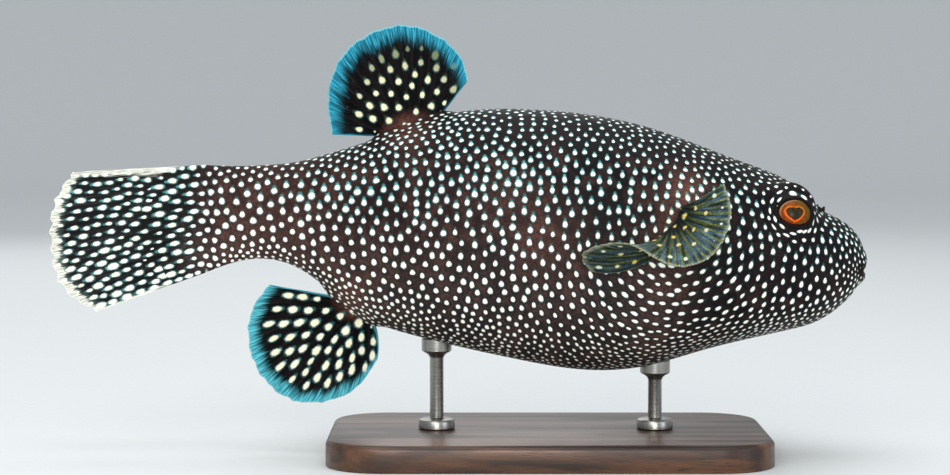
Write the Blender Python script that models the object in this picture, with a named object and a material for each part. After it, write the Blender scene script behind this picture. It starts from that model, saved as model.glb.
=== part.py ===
"""Spotted pufferfish: a still, life-size display model held over a plain stand.

The fish faces +X with its back to +Z, and the stand's underside is at z = 0. Its outline
comes from stations along the body, each with a back, a belly, a widest level and a half
width, joined by smooth curves. The body is built whole from these and parted by thin cuts
into head, trunk and tail stalk. Each fin is a fan of rays from a root line to a margin.
"""

import math

import bmesh
import bpy
import numpy as np
from mathutils import Matrix, Vector

MM = 0.001  # sizes below are in millimetres
GAP = 0.3  # left between any two pieces that touch

# The stand.
BASE_LENGTH = 204.0
BASE_WIDTH = 116.0
BASE_THICK = 12.0
BASE_CORNER = 26.0
BASE_EDGE = 2.5
BASE_CENTRE_X = 42.0
FIN_CLEARANCE = 12.0  # from the base's top to the lowest fin
LIFT = BASE_THICK + FIN_CLEARANCE  # level of the fish's own z = 0, its lowest fin tip
ROD_RADIUS = 3.2
COLLAR_RADIUS = 8.5
COLLAR_HEIGHT = 4.5
COLLAR_BEVEL = 1.2
CUP_RADIUS = 7.0
CUP_HEIGHT = 5.0
CUP_FLARE = 3.0
CUP_OVERLAP = 3.0  # above the belly's middle line, cut away where the body is
ROD_X = {"front": 92.0, "rear": -10.0}

# Body stations from the tail stalk to the lips: place along the body, back, belly, half
# width and the level where the body is widest.
STATIONS = (
    (-117.8, 111.3, 61.0, 3.6, 88.0),
    (-103.9, 110.8, 66.0, 6.6, 88.8),
    (-89.9, 111.2, 67.6, 9.8, 89.5),
    (-75.9, 112.6, 64.0, 13.5, 88.8),
    (-59.6, 116.8, 52.5, 18.4, 85.5),
    (-41.0, 122.6, 39.0, 25.2, 81.0),
    (-22.4, 129.5, 32.4, 31.8, 78.0),
    (0.9, 136.0, 26.6, 38.6, 75.8),
    (28.9, 137.3, 20.6, 44.2, 73.0),
    (56.8, 135.2, 16.2, 48.0, 70.6),
    (84.8, 129.8, 17.4, 49.4, 68.8),
    (112.7, 120.2, 25.0, 47.4, 67.8),
    (136.0, 111.4, 30.8, 42.6, 66.8),
    (154.6, 103.0, 34.9, 36.6, 66.0),
    (168.6, 90.8, 39.6, 29.6, 65.2),
    (178.6, 85.4, 46.8, 22.4, 64.8),
    (185.4, 79.2, 54.2, 15.0, 64.6),
    (188.1, 74.6, 58.2, 9.8, 64.4),
    (188.8, 71.6, 60.0, 7.4, 64.2),
)
TAIL_END = STATIONS[0][0]
STALK_CUT = -66.0
HEAD_CUT = 112.0
BACK_FULLNESS = 2.25  # superellipse powers of the section above and below its widest level
BELLY_FULLNESS = 2.15
SEGMENTS = 36  # around the body
RINGS = {"head": 12, "trunk": 15, "tail_stalk": 7}
CLEARANCE_RINGS = 50
CLEARANCE_END = 0.97  # share of the body's curve

# The snout, from its last upright section to the edge of the mouth, and the recess behind
# the lips, which holds the beak's two plates.
SNOUT_START = 178.6
SNOUT_RINGS = 8
MOUTH_LEVEL = 62.9
MOUTH_HALF_WIDTH = 12.0
MOUTH_HALF_HEIGHT = 1.9
LIP_CREST = 0.78  # shares of the way to the mouth's edge
LIP_GROOVE = 0.36
LIP_RISE = 0.6
LIP_SINK = 0.4
LIP_SPREAD = 0.2
SNOUT_BACK = 10.0  # how far behind its last upright section the snout's front may lie
RECESS = ((1.6, 11.2, 1.7), (4.0, 10.4, 3.3), (10.0, 9.0, 3.0))  # depth, half width, half height
BEAK_HALVES = (6.0, 8.6, 2.7)
BEAK_SETBACK = 1.6  # from the lips' front to the beak's

# The eyes, given for the left side (+Y), and the flesh that swells round each ball.
EYE_CENTRE = Vector((151.2, 25.0, 88.7))
EYE_RADIUS = 9.7
ORBIT_RADIUS = 12.1
LID_RADIUS = 10.8
BROW_RISE = 4.0
ORBIT_BLEND = 5.0
ORBIT_REFINED = (18.0, 13.6)  # distances from the eye within which the mesh is halved again
EYE_TILT_UP = math.radians(16.0)
EYE_TURN_AHEAD = math.radians(13.0)
APERTURE_HALF_LENGTH = 7.6
APERTURE_HALF_HEIGHT = 5.7
APERTURE_FACING = 0.62  # cosine, from the gaze, at which the lids end

# The forked flap of flesh at each nostril.
FLAP_ROOT = Vector((167.6, 10.5, 88.5))
FLAP_HEIGHT = 4.2
FLAP_WIDTH = 3.8
FLAP_THICK = 1.5
FLAP_FORK = 0.65  # share of its height where it forks
FLAP_BURIED = 3.0

# Fins: root line from first ray to last, margin points from first ray to last, the number
# of rays, and the thickness at root and margin.
DORSAL = {
    "root": ((-12.5, 0.0, 128.0), (-33.0, 0.0, 124.4)),
    "margin": (
        (4.6, 0.6, 150.5), (1.8, 2.0, 160.8), (-9.5, 3.2, 171.6), (-25.5, 3.0, 176.6),
        (-40.5, 1.2, 173.0), (-52.8, -1.2, 163.6), (-60.0, -2.6, 147.5), (-58.8, -2.0, 125.4),
    ),
    "rays": 11, "root_thick": 9.0, "margin_thick": 1.1,
}
ANAL = {
    "root": ((-53.0, 0.0, 49.5), (-41.0, 0.0, 43.0)),
    "margin": (
        (-88.5, 1.6, 55.4), (-96.9, 2.4, 43.5), (-98.4, 2.2, 29.5), (-92.2, 0.8, 12.0),
        (-79.5, -1.2, 1.6), (-64.0, -2.4, 0.4), (-48.0, -2.0, 6.6), (-37.6, -0.6, 20.5),
    ),
    "rays": 11, "root_thick": 10.0, "margin_thick": 1.1,
    "bow_last": (4.0, 0.0, 0.0),
}
CAUDAL = {
    "root": ((TAIL_END, 0.0, 111.3), (TAIL_END, 0.0, 61.0)),
    "margin": (
        (-179.8, 1.2, 108.0), (-187.4, 1.8, 97.4), (-190.4, 1.4, 86.0), (-190.6, 0.0, 71.0),
        (-187.4, -1.2, 58.8), (-179.4, -1.8, 48.6), (-168.8, -1.4, 43.0),
    ),
    "rays": 11, "root_thick": 7.0, "margin_thick": 1.1,
}
PECTORAL = {
    "root": ((100.6, 43.0, 94.0), (93.8, 44.5, 76.0)),
    "margin": (
        (116.4, 71.0, 105.6), (118.6, 76.0, 97.0), (117.0, 80.5, 84.6), (110.0, 84.0, 73.8),
        (97.5, 84.6, 70.4), (83.0, 81.0, 75.4), (68.0, 73.5, 78.4), (54.9, 62.8, 75.2),
        (58.8, 54.8, 65.8),
    ),
    "rays": 13, "root_thick": 6.5, "margin_thick": 1.1,
    "bow_first": (-2.0, 15.0, -1.0), "bow_last": (0.0, 11.0, -9.0),
}
RAY_RIDGE = 0.45  # how much thicker a fin is on a ray than between rays
FIN_ROWS = 5
FIN_TAPER = 2.2  # power by which a fin thins from its root
FIN_EDGE = 0.6  # its least thickness, at its first and last rays
FIN_EDGE_SHARE = 0.25  # of its full thickness, kept at those rays
FIN_WAVE = 1.6  # ripple of a fin's sheet from side to side, and the number of its half waves
FIN_WAVES = 5
FIN_STEP = 0.01  # share of the fin over which its facing is measured

DARK_SKIN = (0.035, 0.024, 0.024)


class Spline:
    """A smooth curve through rows of numbers, spaced by the distance from row to row."""

    def __init__(self, rows):
        self.rows = np.array(rows, float)
        steps = np.linalg.norm(np.diff(self.rows, axis=0), axis=1)
        self.knots = np.concatenate([[0.0], np.cumsum(steps)]) / steps.sum()
        span = np.diff(self.knots)
        slope = np.diff(self.rows, axis=0) / span[:, None]
        count = len(self.rows)
        left, right = np.eye(count), np.zeros_like(self.rows)
        for i in range(1, count - 1):
            left[i, i - 1:i + 2] = span[i - 1], 2 * (span[i - 1] + span[i]), span[i]
            right[i] = 6 * (slope[i] - slope[i - 1])
        self.bend = np.linalg.solve(left, right)

    def __call__(self, t):
        i = min(max(int(np.searchsorted(self.knots, t)) - 1, 0), len(self.knots) - 2)
        span = self.knots[i + 1] - self.knots[i]
        a, b = (self.knots[i + 1] - t) / span, (t - self.knots[i]) / span
        return (
            a * self.rows[i]
            + b * self.rows[i + 1]
            + ((a**3 - a) * self.bend[i] + (b**3 - b) * self.bend[i + 1]) * span**2 / 6
        )


BODY = Spline(STATIONS)
BODY_STEPS = np.linspace(0.0, 1.0, 2001)
BODY_PLACES = [BODY(t)[0] for t in BODY_STEPS]


def station_at(x):
    """The body curve's parameter where it passes a place along the body."""
    return float(np.interp(x, BODY_PLACES, BODY_STEPS))


def smooth_step(value):
    """Rises smoothly from 0 to 1 as the value does."""
    value = min(max(value, 0.0), 1.0)
    return value * value * (3 - 2 * value)


def smooth_max(a, b, blend):
    """The larger of two numbers, rounded over where they are nearly equal."""
    overlap = max(blend - abs(a - b), 0.0) / blend
    return max(a, b) + overlap**2 * blend / 4


def gaze():
    """The way the left eye looks."""
    level = Vector((math.sin(EYE_TURN_AHEAD), math.cos(EYE_TURN_AHEAD), 0))
    return level * math.cos(EYE_TILT_UP) + Vector((0, 0, math.sin(EYE_TILT_UP)))


def swell_over_eyes(point):
    """Pushes a point out to the flesh round an eye: a brow above it, thin lids over the ball."""
    side = math.copysign(1.0, point.y)
    mirror = Vector((1, side, 1))
    away = point * mirror - EYE_CENTRE
    direction = away.normalized()
    lids = smooth_step(direction.dot(gaze()) / APERTURE_FACING)
    orbit = ORBIT_RADIUS + BROW_RISE * max(direction.z, 0.0)
    reach = smooth_max(away.length, orbit + (LID_RADIUS - orbit) * lids, ORBIT_BLEND)
    return (EYE_CENTRE + direction * reach) * mirror


def body_point(t, around, grown=0.0):
    """A point of the body's skin at a station and an angle from the left side over the back."""
    x, back, belly, half_width, level = BODY(t)
    cosine, sine = math.cos(around), math.sin(around)
    fullness = BACK_FULLNESS if sine > 0 else BELLY_FULLNESS
    reach = (back - level if sine > 0 else level - belly) + grown
    y = (half_width + grown) * math.copysign(abs(cosine) ** (2 / fullness), cosine)
    z = level + reach * math.copysign(abs(sine) ** (2 / fullness), sine)
    return Vector((x, y, z))


def shape_orbits(bm):
    """Refines the head's mesh round the eyes and swells it over them."""
    mirror = Vector((1, -1, 1))
    for distance in ORBIT_REFINED:
        near = [
            edge for edge in bm.edges
            if any(
                min((v.co - EYE_CENTRE).length, (v.co * mirror - EYE_CENTRE).length) < distance
                for v in edge.verts
            )
        ]
        bmesh.ops.subdivide_edges(bm, edges=near, cuts=1, use_grid_fill=True)
    for vert in bm.verts:
        vert.co = swell_over_eyes(vert.co)


def section_measure(t, y, z):
    """Below 1 for a point within the body's section at a station, and above 1 outside it."""
    _, back, belly, half_width, level = BODY(t)
    fullness, reach = (BACK_FULLNESS, back - level) if z > level else (BELLY_FULLNESS, level - belly)
    return (abs(y) / half_width) ** fullness + (abs(z - level) / reach) ** fullness


def snout_front(y, z):
    """How far forward the snout's skin lies at a point of the front view."""
    low, high = station_at(SNOUT_START - SNOUT_BACK), 1.0
    for _ in range(24):
        middle = (low + high) / 2
        if section_measure(middle, y, z) < 1:
            low = middle
        else:
            high = middle
    return BODY(low)[0]


def snout_point(share, around):
    """A point of the snout, a share of the way from its last section to the mouth's edge."""
    _, back, belly, half_width, level = BODY(station_at(SNOUT_START))
    cosine, sine = math.cos(around), math.sin(around)
    fullness = BACK_FULLNESS if sine > 0 else BELLY_FULLNESS
    fullness += (2.0 - fullness) * share
    reach = back - level if sine > 0 else level - belly
    wide = half_width + (MOUTH_HALF_WIDTH - half_width) * share
    high = reach + (MOUTH_HALF_HEIGHT - reach) * share
    y = wide * math.copysign(abs(cosine) ** (2 / fullness), cosine)
    z = level + (MOUTH_LEVEL - level) * share
    z += high * math.copysign(abs(sine) ** (2 / fullness), sine)
    lip = LIP_RISE * math.exp(-(((share - LIP_CREST) / LIP_SPREAD) ** 2))
    lip -= LIP_SINK * math.exp(-(((share - LIP_GROOVE) / LIP_SPREAD) ** 2)) * (share > 0)
    return Vector((snout_front(y, z) + lip, y, z))


def tube(rings):
    """A closed bmesh through rings of points, with flat ends."""
    bm = bmesh.new()
    around = len(rings[0])
    bmesh.ops.create_grid(bm, x_segments=len(rings) - 1, y_segments=around, size=0.5)
    for vert in bm.verts:
        ring = round((vert.co.x + 0.5) * (len(rings) - 1))
        step = round((vert.co.y + 0.5) * around) % around
        vert.co = rings[ring][step]
    bmesh.ops.remove_doubles(bm, verts=bm.verts, dist=1e-4)
    bmesh.ops.holes_fill(bm, edges=bm.edges, sides=0)
    bmesh.ops.recalc_face_normals(bm, faces=bm.faces)
    return bm


def paint(obj, colour, roughness, metallic):
    """Gives an object a material of its own."""
    material = bpy.data.materials.new(obj.name)
    material.use_nodes = True
    surface = material.node_tree.nodes["Principled BSDF"]
    surface.inputs["Base Color"].default_value = (*colour, 1.0)
    surface.inputs["Roughness"].default_value = roughness
    surface.inputs["Metallic"].default_value = metallic
    obj.data.materials.append(material)


def finish(bm, name, colour=DARK_SKIN, roughness=0.5, metallic=0.0, lift=LIFT, smooth=35.0):
    """Makes an object, in metres and at its height over the stand, from a bmesh in millimetres."""
    bmesh.ops.transform(bm, matrix=Matrix.Translation((0, 0, lift)), verts=bm.verts)
    bmesh.ops.transform(bm, matrix=Matrix.Scale(MM, 4), verts=bm.verts)
    mesh = bpy.data.meshes.new(name)
    bm.to_mesh(mesh)
    bm.free()
    mesh.shade_smooth()
    mesh.set_sharp_from_angle(angle=math.radians(smooth))
    obj = bpy.data.objects.new(name, mesh)
    bpy.context.scene.collection.objects.link(obj)
    paint(obj, colour, roughness, metallic)
    return obj


def cut(obj, cutter):
    """Takes a cutter away from an object, and keeps the cutter out of the model."""
    cutter.hide_render = True
    cutter.display_type = "WIRE"
    difference = obj.modifiers.new("cut_" + cutter.name, "BOOLEAN")
    difference.operation = "DIFFERENCE"
    difference.object = cutter


def mirrored(obj, name):
    """The other side's copy of a piece on the left side."""
    mesh = obj.data.copy()
    mesh.transform(Matrix.Scale(-1.0, 4, Vector((0, 1, 0))))
    mesh.flip_normals()
    twin = bpy.data.objects.new(name, mesh)
    bpy.context.scene.collection.objects.link(twin)
    for source in obj.modifiers:
        copied = twin.modifiers.new(source.name, source.type)
        copied.operation = source.operation
        copied.object = source.object
    return twin


def turns():
    """The angles at which the body's rings have their points."""
    return [2 * math.pi * k / SEGMENTS for k in range(SEGMENTS)]


def body_rings(first, last, count, grown=0.0):
    """Upright rings of the body from one station to another."""
    stations = np.linspace(first, last, count)
    return [[body_point(t, turn, grown) for turn in turns()] for t in stations]


def snout_rings():
    """Rings over the snout and lips to the mouth's edge, then back into the mouth."""
    shares = [k / SNOUT_RINGS for k in range(1, SNOUT_RINGS + 1)]
    rings = [[snout_point(share, turn) for turn in turns()] for share in shares]
    for depth, half_width, half_height in RECESS:
        ring = []
        for edge, turn in zip(rings[SNOUT_RINGS - 1], turns()):
            y, z = half_width * math.cos(turn), MOUTH_LEVEL + half_height * math.sin(turn)
            ring.append(Vector((edge.x - depth, y, z)))
        rings.append(ring)
    return rings


def eye_frame(outward=0.0):
    """The left eye's place and turn, with its own z axis along its gaze."""
    ahead = Vector((1, 0, 0))
    ahead = (ahead - gaze() * ahead.dot(gaze())).normalized()
    turn = Matrix((ahead, gaze().cross(ahead), gaze())).transposed().to_4x4()
    return Matrix.Translation(EYE_CENTRE + gaze() * outward) @ turn


def make_eyes():
    """Both eyeballs, and the cutters of their sockets and of the openings between the lids."""
    eyes, cutters = [], []
    for side, name in ((1, "left"), (-1, "right")):
        flip = Matrix.Scale(side, 4, Vector((0, 1, 0)))
        for radius, label in ((EYE_RADIUS, "eye_"), (EYE_RADIUS + GAP, "socket_")):
            bm = bmesh.new()
            bmesh.ops.create_uvsphere(bm, u_segments=18, v_segments=10, radius=radius)
            bmesh.ops.transform(bm, matrix=flip @ eye_frame(), verts=bm.verts)
            bmesh.ops.recalc_face_normals(bm, faces=bm.faces)
            obj = finish(bm, label + name, colour=(0.5, 0.16, 0.02), roughness=0.08)
            (eyes if label == "eye_" else cutters).append(obj)
        bm = bmesh.new()
        bmesh.ops.create_cone(bm, cap_ends=True, segments=24, radius1=1.0, radius2=1.12, depth=12.0)
        shape = Matrix.Diagonal((APERTURE_HALF_LENGTH, APERTURE_HALF_HEIGHT, 1.0, 1.0))
        place = flip @ eye_frame(EYE_RADIUS) @ shape
        bmesh.ops.transform(bm, matrix=place, verts=bm.verts)
        bmesh.ops.recalc_face_normals(bm, faces=bm.faces)
        cutters.append(finish(bm, "aperture_" + name))
    return cutters


def make_body(eye_cutters):
    """Head, trunk and tail stalk, parted by thin cuts."""
    ends = {
        "tail_stalk": (TAIL_END + GAP, STALK_CUT - GAP),
        "trunk": (STALK_CUT, HEAD_CUT - GAP),
        "head": (HEAD_CUT, SNOUT_START),
    }
    for name, (first, last) in ends.items():
        rings = body_rings(station_at(first), station_at(last), RINGS[name])
        if name == "head":
            rings += snout_rings()
        bm = tube(rings)
        if name == "head":
            shape_orbits(bm)
        part = finish(bm, name)
        if name == "head":
            for cutter in eye_cutters:
                cut(part, cutter)


def make_clearance():
    """The body, as far as the nostrils, grown by the gap: it cuts whatever meets the skin."""
    rings = body_rings(0.0, CLEARANCE_END, CLEARANCE_RINGS, grown=GAP)
    return finish(tube(rings), "body_clearance")


def fin_rings(fin):
    """Rings over a fin's thickness, one on each ray and one between each two rays."""
    margin = Spline(fin["margin"])
    root_first, root_last = (np.array(end) for end in fin["root"])
    straight = (0.0, 0.0, 0.0)
    bow_first = np.array(fin.get("bow_first", straight))
    bow_last = np.array(fin.get("bow_last", straight))
    columns = 2 * fin["rays"] - 1

    def middle(share, out):
        root = root_first + (root_last - root_first) * share
        tip = margin(share)
        knee = (root + tip) / 2 + bow_first + (bow_last - bow_first) * share**3
        return root * (1 - out) ** 2 + knee * 2 * out * (1 - out) + tip * out**2

    def facing(share, out):
        before, after = max(share - FIN_STEP, 0), min(share + FIN_STEP, 1)
        along = middle(after, out) - middle(before, out)
        inner, outer = max(out - FIN_STEP, 0), min(out + FIN_STEP, 1)
        outward = middle(share, outer) - middle(share, inner)
        normal = np.cross(along, outward)
        return normal / np.linalg.norm(normal)

    rings = []
    for column in range(columns):
        share = column / (columns - 1)
        on_ray = column % 2 == 0
        front, back = [], []
        for row in range(FIN_ROWS + 1):
            out = row / FIN_ROWS
            taper = (1 - out) ** FIN_TAPER
            thick = fin["margin_thick"] + (fin["root_thick"] - fin["margin_thick"]) * taper
            thick -= 0 if on_ray else RAY_RIDGE * min(1.0, 3 * out)
            rounding = math.sin(math.pi * share) ** 0.5 if 0 < share < 1 else 0.0
            full = FIN_EDGE_SHARE + (1 - FIN_EDGE_SHARE) * rounding
            half = max(FIN_EDGE, thick * full) / 2
            wave = FIN_WAVE * math.sin(FIN_WAVES * math.pi * share) * out**2
            centre = middle(share, out) + facing(share, out) * wave
            offset = facing(share, out) * half
            front.append(Vector(centre + offset))
            back.append(Vector(centre - offset))
        rings.append(front + back[::-1])
    return rings


def make_fins(clearance):
    """The five fins, each cut to meet the body's skin."""
    for name, fin in (("dorsal_fin", DORSAL), ("anal_fin", ANAL)):
        cut(finish(tube(fin_rings(fin)), name), clearance)
    finish(tube(fin_rings(CAUDAL)), "caudal_fin")
    left = finish(tube(fin_rings(PECTORAL)), "pectoral_fin_left")
    cut(left, clearance)
    mirrored(left, "pectoral_fin_right")


def make_beak():
    """The beak's upper and lower plates, halves of one rounded block in the mouth."""
    lips = snout_front(0.0, MOUTH_LEVEL)
    centre = Vector((lips - BEAK_SETBACK - BEAK_HALVES[0], 0, MOUTH_LEVEL))
    for name, side in (("beak_upper", 1), ("beak_lower", -1)):
        bm = bmesh.new()
        bmesh.ops.create_uvsphere(bm, u_segments=20, v_segments=10, radius=1.0)
        place = Matrix.Translation(centre) @ Matrix.Diagonal((*BEAK_HALVES, 1.0))
        bmesh.ops.transform(bm, matrix=place, verts=bm.verts)
        bite = Vector((0, 0, MOUTH_LEVEL + side * GAP))
        planes = ((bite, Vector((0, 0, -side))), (centre, Vector((-1, 0, 0))))
        for point, outside in planes:
            everything = bm.verts[:] + bm.edges[:] + bm.faces[:]
            bmesh.ops.bisect_plane(
                bm, geom=everything, plane_co=point, plane_no=outside, clear_outer=True
            )
            bmesh.ops.holes_fill(bm, edges=bm.edges, sides=0)
        bmesh.ops.recalc_face_normals(bm, faces=bm.faces)
        finish(bm, name, colour=(0.72, 0.66, 0.5), roughness=0.35)


def make_nostril_flaps(clearance):
    """The forked flap at each nostril, one stem that splits into two lobes."""
    half, fork = FLAP_WIDTH / 2, FLAP_HEIGHT * FLAP_FORK
    lobe = (
        (0.7 * half, -FLAP_BURIED), (0.9 * half, fork), (1.2 * half, 0.9 * FLAP_HEIGHT),
        (0.9 * half, FLAP_HEIGHT), (0.6 * half, 0.9 * FLAP_HEIGHT),
    )
    outline = [*lobe, (0.0, fork), *((-x, z) for x, z in lobe[::-1])]
    for side, name in ((1, "left"), (-1, "right")):
        bm = bmesh.new()
        face = bm.faces.new([bm.verts.new((x, -FLAP_THICK / 2, z)) for x, z in outline])
        grown = bmesh.ops.extrude_face_region(bm, geom=[face])["geom"]
        crown = [item for item in grown if isinstance(item, bmesh.types.BMVert)]
        bmesh.ops.translate(bm, vec=(0, FLAP_THICK, 0), verts=crown)
        bmesh.ops.recalc_face_normals(bm, faces=bm.faces)
        root = Vector((FLAP_ROOT.x, side * FLAP_ROOT.y, FLAP_ROOT.z))
        bmesh.ops.translate(bm, vec=root, verts=bm.verts)
        cut(finish(bm, "nostril_flap_" + name), clearance)


def make_base():
    """The stand's base, a plate with round corners and softened edges."""
    bm = bmesh.new()
    bmesh.ops.create_cube(bm, size=1.0)
    size = Matrix.Diagonal((BASE_LENGTH, BASE_WIDTH, BASE_THICK, 1.0))
    place = Matrix.Translation((BASE_CENTRE_X, 0, BASE_THICK / 2))
    bmesh.ops.transform(bm, matrix=place @ size, verts=bm.verts)
    upright = [e for e in bm.edges if abs(e.verts[0].co.z - e.verts[1].co.z) > 1]
    bmesh.ops.bevel(
        bm, geom=upright, offset=BASE_CORNER, segments=7, profile=0.5, affect="EDGES", material=-1
    )
    rim = [e for e in bm.edges if min(v.co.z for v in e.verts) > BASE_THICK - 0.01]
    bmesh.ops.bevel(
        bm, geom=rim, offset=BASE_EDGE, segments=2, profile=0.5, affect="EDGES", material=-1
    )
    bmesh.ops.recalc_face_normals(bm, faces=bm.faces)
    finish(bm, "stand_base", colour=(0.07, 0.035, 0.018), roughness=0.35, lift=0.0)


def belly_at(x):
    """The belly's height over the table at a place along the body."""
    return BODY(station_at(x))[2] + LIFT


def make_rods(clearance):
    """Two turned rods, each with a collar on the base and a cup cut to the belly."""
    for name, x in ROD_X.items():
        foot, top = BASE_THICK + GAP, belly_at(x) + CUP_OVERLAP
        crown, cup_foot = foot + COLLAR_HEIGHT, belly_at(x) - CUP_HEIGHT
        profile = (
            (0.0, foot), (COLLAR_RADIUS, foot), (COLLAR_RADIUS, crown - COLLAR_BEVEL),
            (COLLAR_RADIUS - COLLAR_BEVEL, crown), (ROD_RADIUS, crown),
            (ROD_RADIUS, cup_foot - CUP_FLARE), (CUP_RADIUS, cup_foot), (CUP_RADIUS, top),
            (0.0, top),
        )
        bm = bmesh.new()
        line = [bm.verts.new((radius, 0, height)) for radius, height in profile]
        edges = [bm.edges.new(pair) for pair in zip(line, line[1:])]
        bmesh.ops.spin(
            bm, geom=line + edges, axis=(0, 0, 1), cent=(0, 0, 0), steps=18,
            angle=2 * math.pi, use_merge=True,
        )
        bmesh.ops.remove_doubles(bm, verts=bm.verts, dist=1e-4)
        bmesh.ops.recalc_face_normals(bm, faces=bm.faces)
        bmesh.ops.translate(bm, vec=(x, 0, 0), verts=bm.verts)
        rod = finish(
            bm, "stand_rod_" + name, colour=(0.62, 0.6, 0.56), roughness=0.3, metallic=1.0, lift=0.0
        )
        cut(rod, clearance)


def main():
    for obj in list(bpy.data.objects):
        bpy.data.objects.remove(obj)
    clearance = make_clearance()
    make_body(make_eyes())
    make_fins(clearance)
    make_beak()
    make_nostril_flaps(clearance)
    make_base()
    make_rods(clearance)


main()
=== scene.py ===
"""The looks of a spotted pufferfish display model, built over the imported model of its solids.

The fish is a guineafowl puffer, life size, swimming towards +X over a plain stand. One skin
covers head, trunk, tail stalk and tail fin. The other fins, the eyes, the beak, the flaps at
the nostrils and the stand are pieces of their own. Sizes in the classes are in millimetres
and heights in them start from the lowest fin, which the stand holds LIFT over the table.
"""

import logging
import math
from collections.abc import Callable
from dataclasses import dataclass, field, replace
from enum import Enum
from functools import partial

import bmesh
import bpy
import numpy as np
from bmesh import ops
from bmesh.types import BMesh
from bpy.types import Material, Mesh, Node, NodeSocket, NodeTree, Object
from mathutils import Matrix, Vector
from mathutils.kdtree import KDTree

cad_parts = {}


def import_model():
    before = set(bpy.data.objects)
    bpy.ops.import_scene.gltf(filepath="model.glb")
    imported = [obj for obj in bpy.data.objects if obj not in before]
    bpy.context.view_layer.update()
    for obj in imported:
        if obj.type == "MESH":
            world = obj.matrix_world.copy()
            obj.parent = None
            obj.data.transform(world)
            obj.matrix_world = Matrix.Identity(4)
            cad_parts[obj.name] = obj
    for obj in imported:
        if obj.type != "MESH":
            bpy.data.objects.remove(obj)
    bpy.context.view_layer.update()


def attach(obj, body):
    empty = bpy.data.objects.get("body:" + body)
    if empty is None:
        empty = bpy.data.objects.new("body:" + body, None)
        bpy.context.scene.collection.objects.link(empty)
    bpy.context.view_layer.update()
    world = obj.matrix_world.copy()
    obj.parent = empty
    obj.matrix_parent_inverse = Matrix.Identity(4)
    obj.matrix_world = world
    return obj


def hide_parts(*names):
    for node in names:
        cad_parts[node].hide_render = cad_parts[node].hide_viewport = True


Array = np.ndarray
Wire = Callable[..., NodeSocket]  # adds a node to one tree, as wire does
Outputs = bpy.types.bpy_prop_collection

MM = 0.001
LIFT = 24.0  # level of the fish's own z = 0 over the table
SEED = 7
LOG = logging.getLogger("pufferfish")
AHEAD, UP = np.array([1.0, 0.0, 0.0]), np.array([0.0, 0.0, 1.0])

# What many nodes share: a mix of colours, a range with soft ends, products and a length.
COLOURS = {"out": 2, "data_type": "RGBA"}
EASED = {"interpolation_type": "SMOOTHSTEP"}
TIMES = {"operation": "MULTIPLY"}
TIMES_PLUS = {"operation": "MULTIPLY_ADD"}
LENGTH = {"operation": "LENGTH", "out": "Value"}
NOISE = (0.3, 0.7)  # most of a noise lies between these


def linear(hex_colour: str) -> tuple[float, float, float, float]:
    """Turns an sRGB hex colour, six digits after a hash sign, to a shader's linear one."""
    parts = [int(hex_colour[i:i + 2], 16) / 255 for i in (1, 3, 5)]
    return (*(p / 12.92 if p <= 0.04045 else ((p + 0.055) / 1.055) ** 2.4 for p in parts), 1.0)


def smooth_step(value: Array) -> Array:
    """Rises smoothly from 0 to 1 as the value does."""
    value = np.clip(value, 0.0, 1.0)
    return value * value * (3 - 2 * value)


def grows(value: Array, start: float, over: float) -> Array:
    """Rises smoothly from 0 to 1 past a start, over a length."""
    return smooth_step((value - start) / over)


def fades(value: Array, end: float, over: float) -> Array:
    """Falls smoothly from 1 to 0 as the value nears an end, over a length."""
    return smooth_step((end - value) / over)


def blend(start: Array, end: Array, share: Array) -> Array:
    """From one value over to another as the share rises from 0 to 1."""
    return start + (end - start) * share


def bell(value: Array, width: float) -> Array:
    """A bump of height 1 at 0, which falls to about a third at the width."""
    return np.exp(-((np.asarray(value) / width) ** 2))


def signed_power(value: Array, power: float) -> Array:
    """A power of a value's size, with the value's sign."""
    return np.sign(value) * np.abs(value) ** power


def unit(vectors: Array) -> Array:
    """Vectors of length 1 along the given ones."""
    return vectors / np.maximum(np.linalg.norm(vectors, axis=-1, keepdims=True), 1e-9)


def mirror_right(points: Array) -> Array:
    """Points with those of the right side moved over to the left."""
    return np.stack([points[..., 0], np.abs(points[..., 1]), points[..., 2]], -1)


def tree_of(points: Array) -> KDTree:
    """A search tree over points."""
    tree = KDTree(len(points))
    for number, point in enumerate(points.tolist()):
        tree.insert(point, number)
    tree.balance()
    return tree


def nearest(tree: KDTree, places: Array) -> Array:
    """The number of the tree's point nearest to each place."""
    return np.array([tree.find(place)[1] for place in places.tolist()])


def connect(node: Node, inputs: dict | tuple) -> None:
    """Links or sets a node's inputs.

    Args:
        node: the node.
        inputs: sockets, values or hex colours, by the inputs' names or numbers or in order.
    """
    for name, value in inputs.items() if isinstance(inputs, dict) else enumerate(inputs):
        if isinstance(value, NodeSocket):
            node.id_data.links.new(value, node.inputs[name])
        else:
            node.inputs[name].default_value = linear(value) if isinstance(value, str) else value


def wire(
    tree: NodeTree, kind: str, inputs: dict | tuple, out: int | str | None = 0, **settings
) -> NodeSocket | Outputs:
    """Adds a shader node with its settings and links.

    Args:
        tree: the node tree that gets the node.
        kind: the node's type, without the words ShaderNode.
        inputs: what connect takes.
        out: the output to give back, or None for all of them.
        **settings: the node's own properties.

    Returns:
        The output socket or sockets.
    """
    node = tree.nodes.new("ShaderNode" + kind)
    for name, value in settings.items():
        setattr(node, name, value)
    connect(node, inputs)
    return node.outputs if out is None else node.outputs[out]


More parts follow.
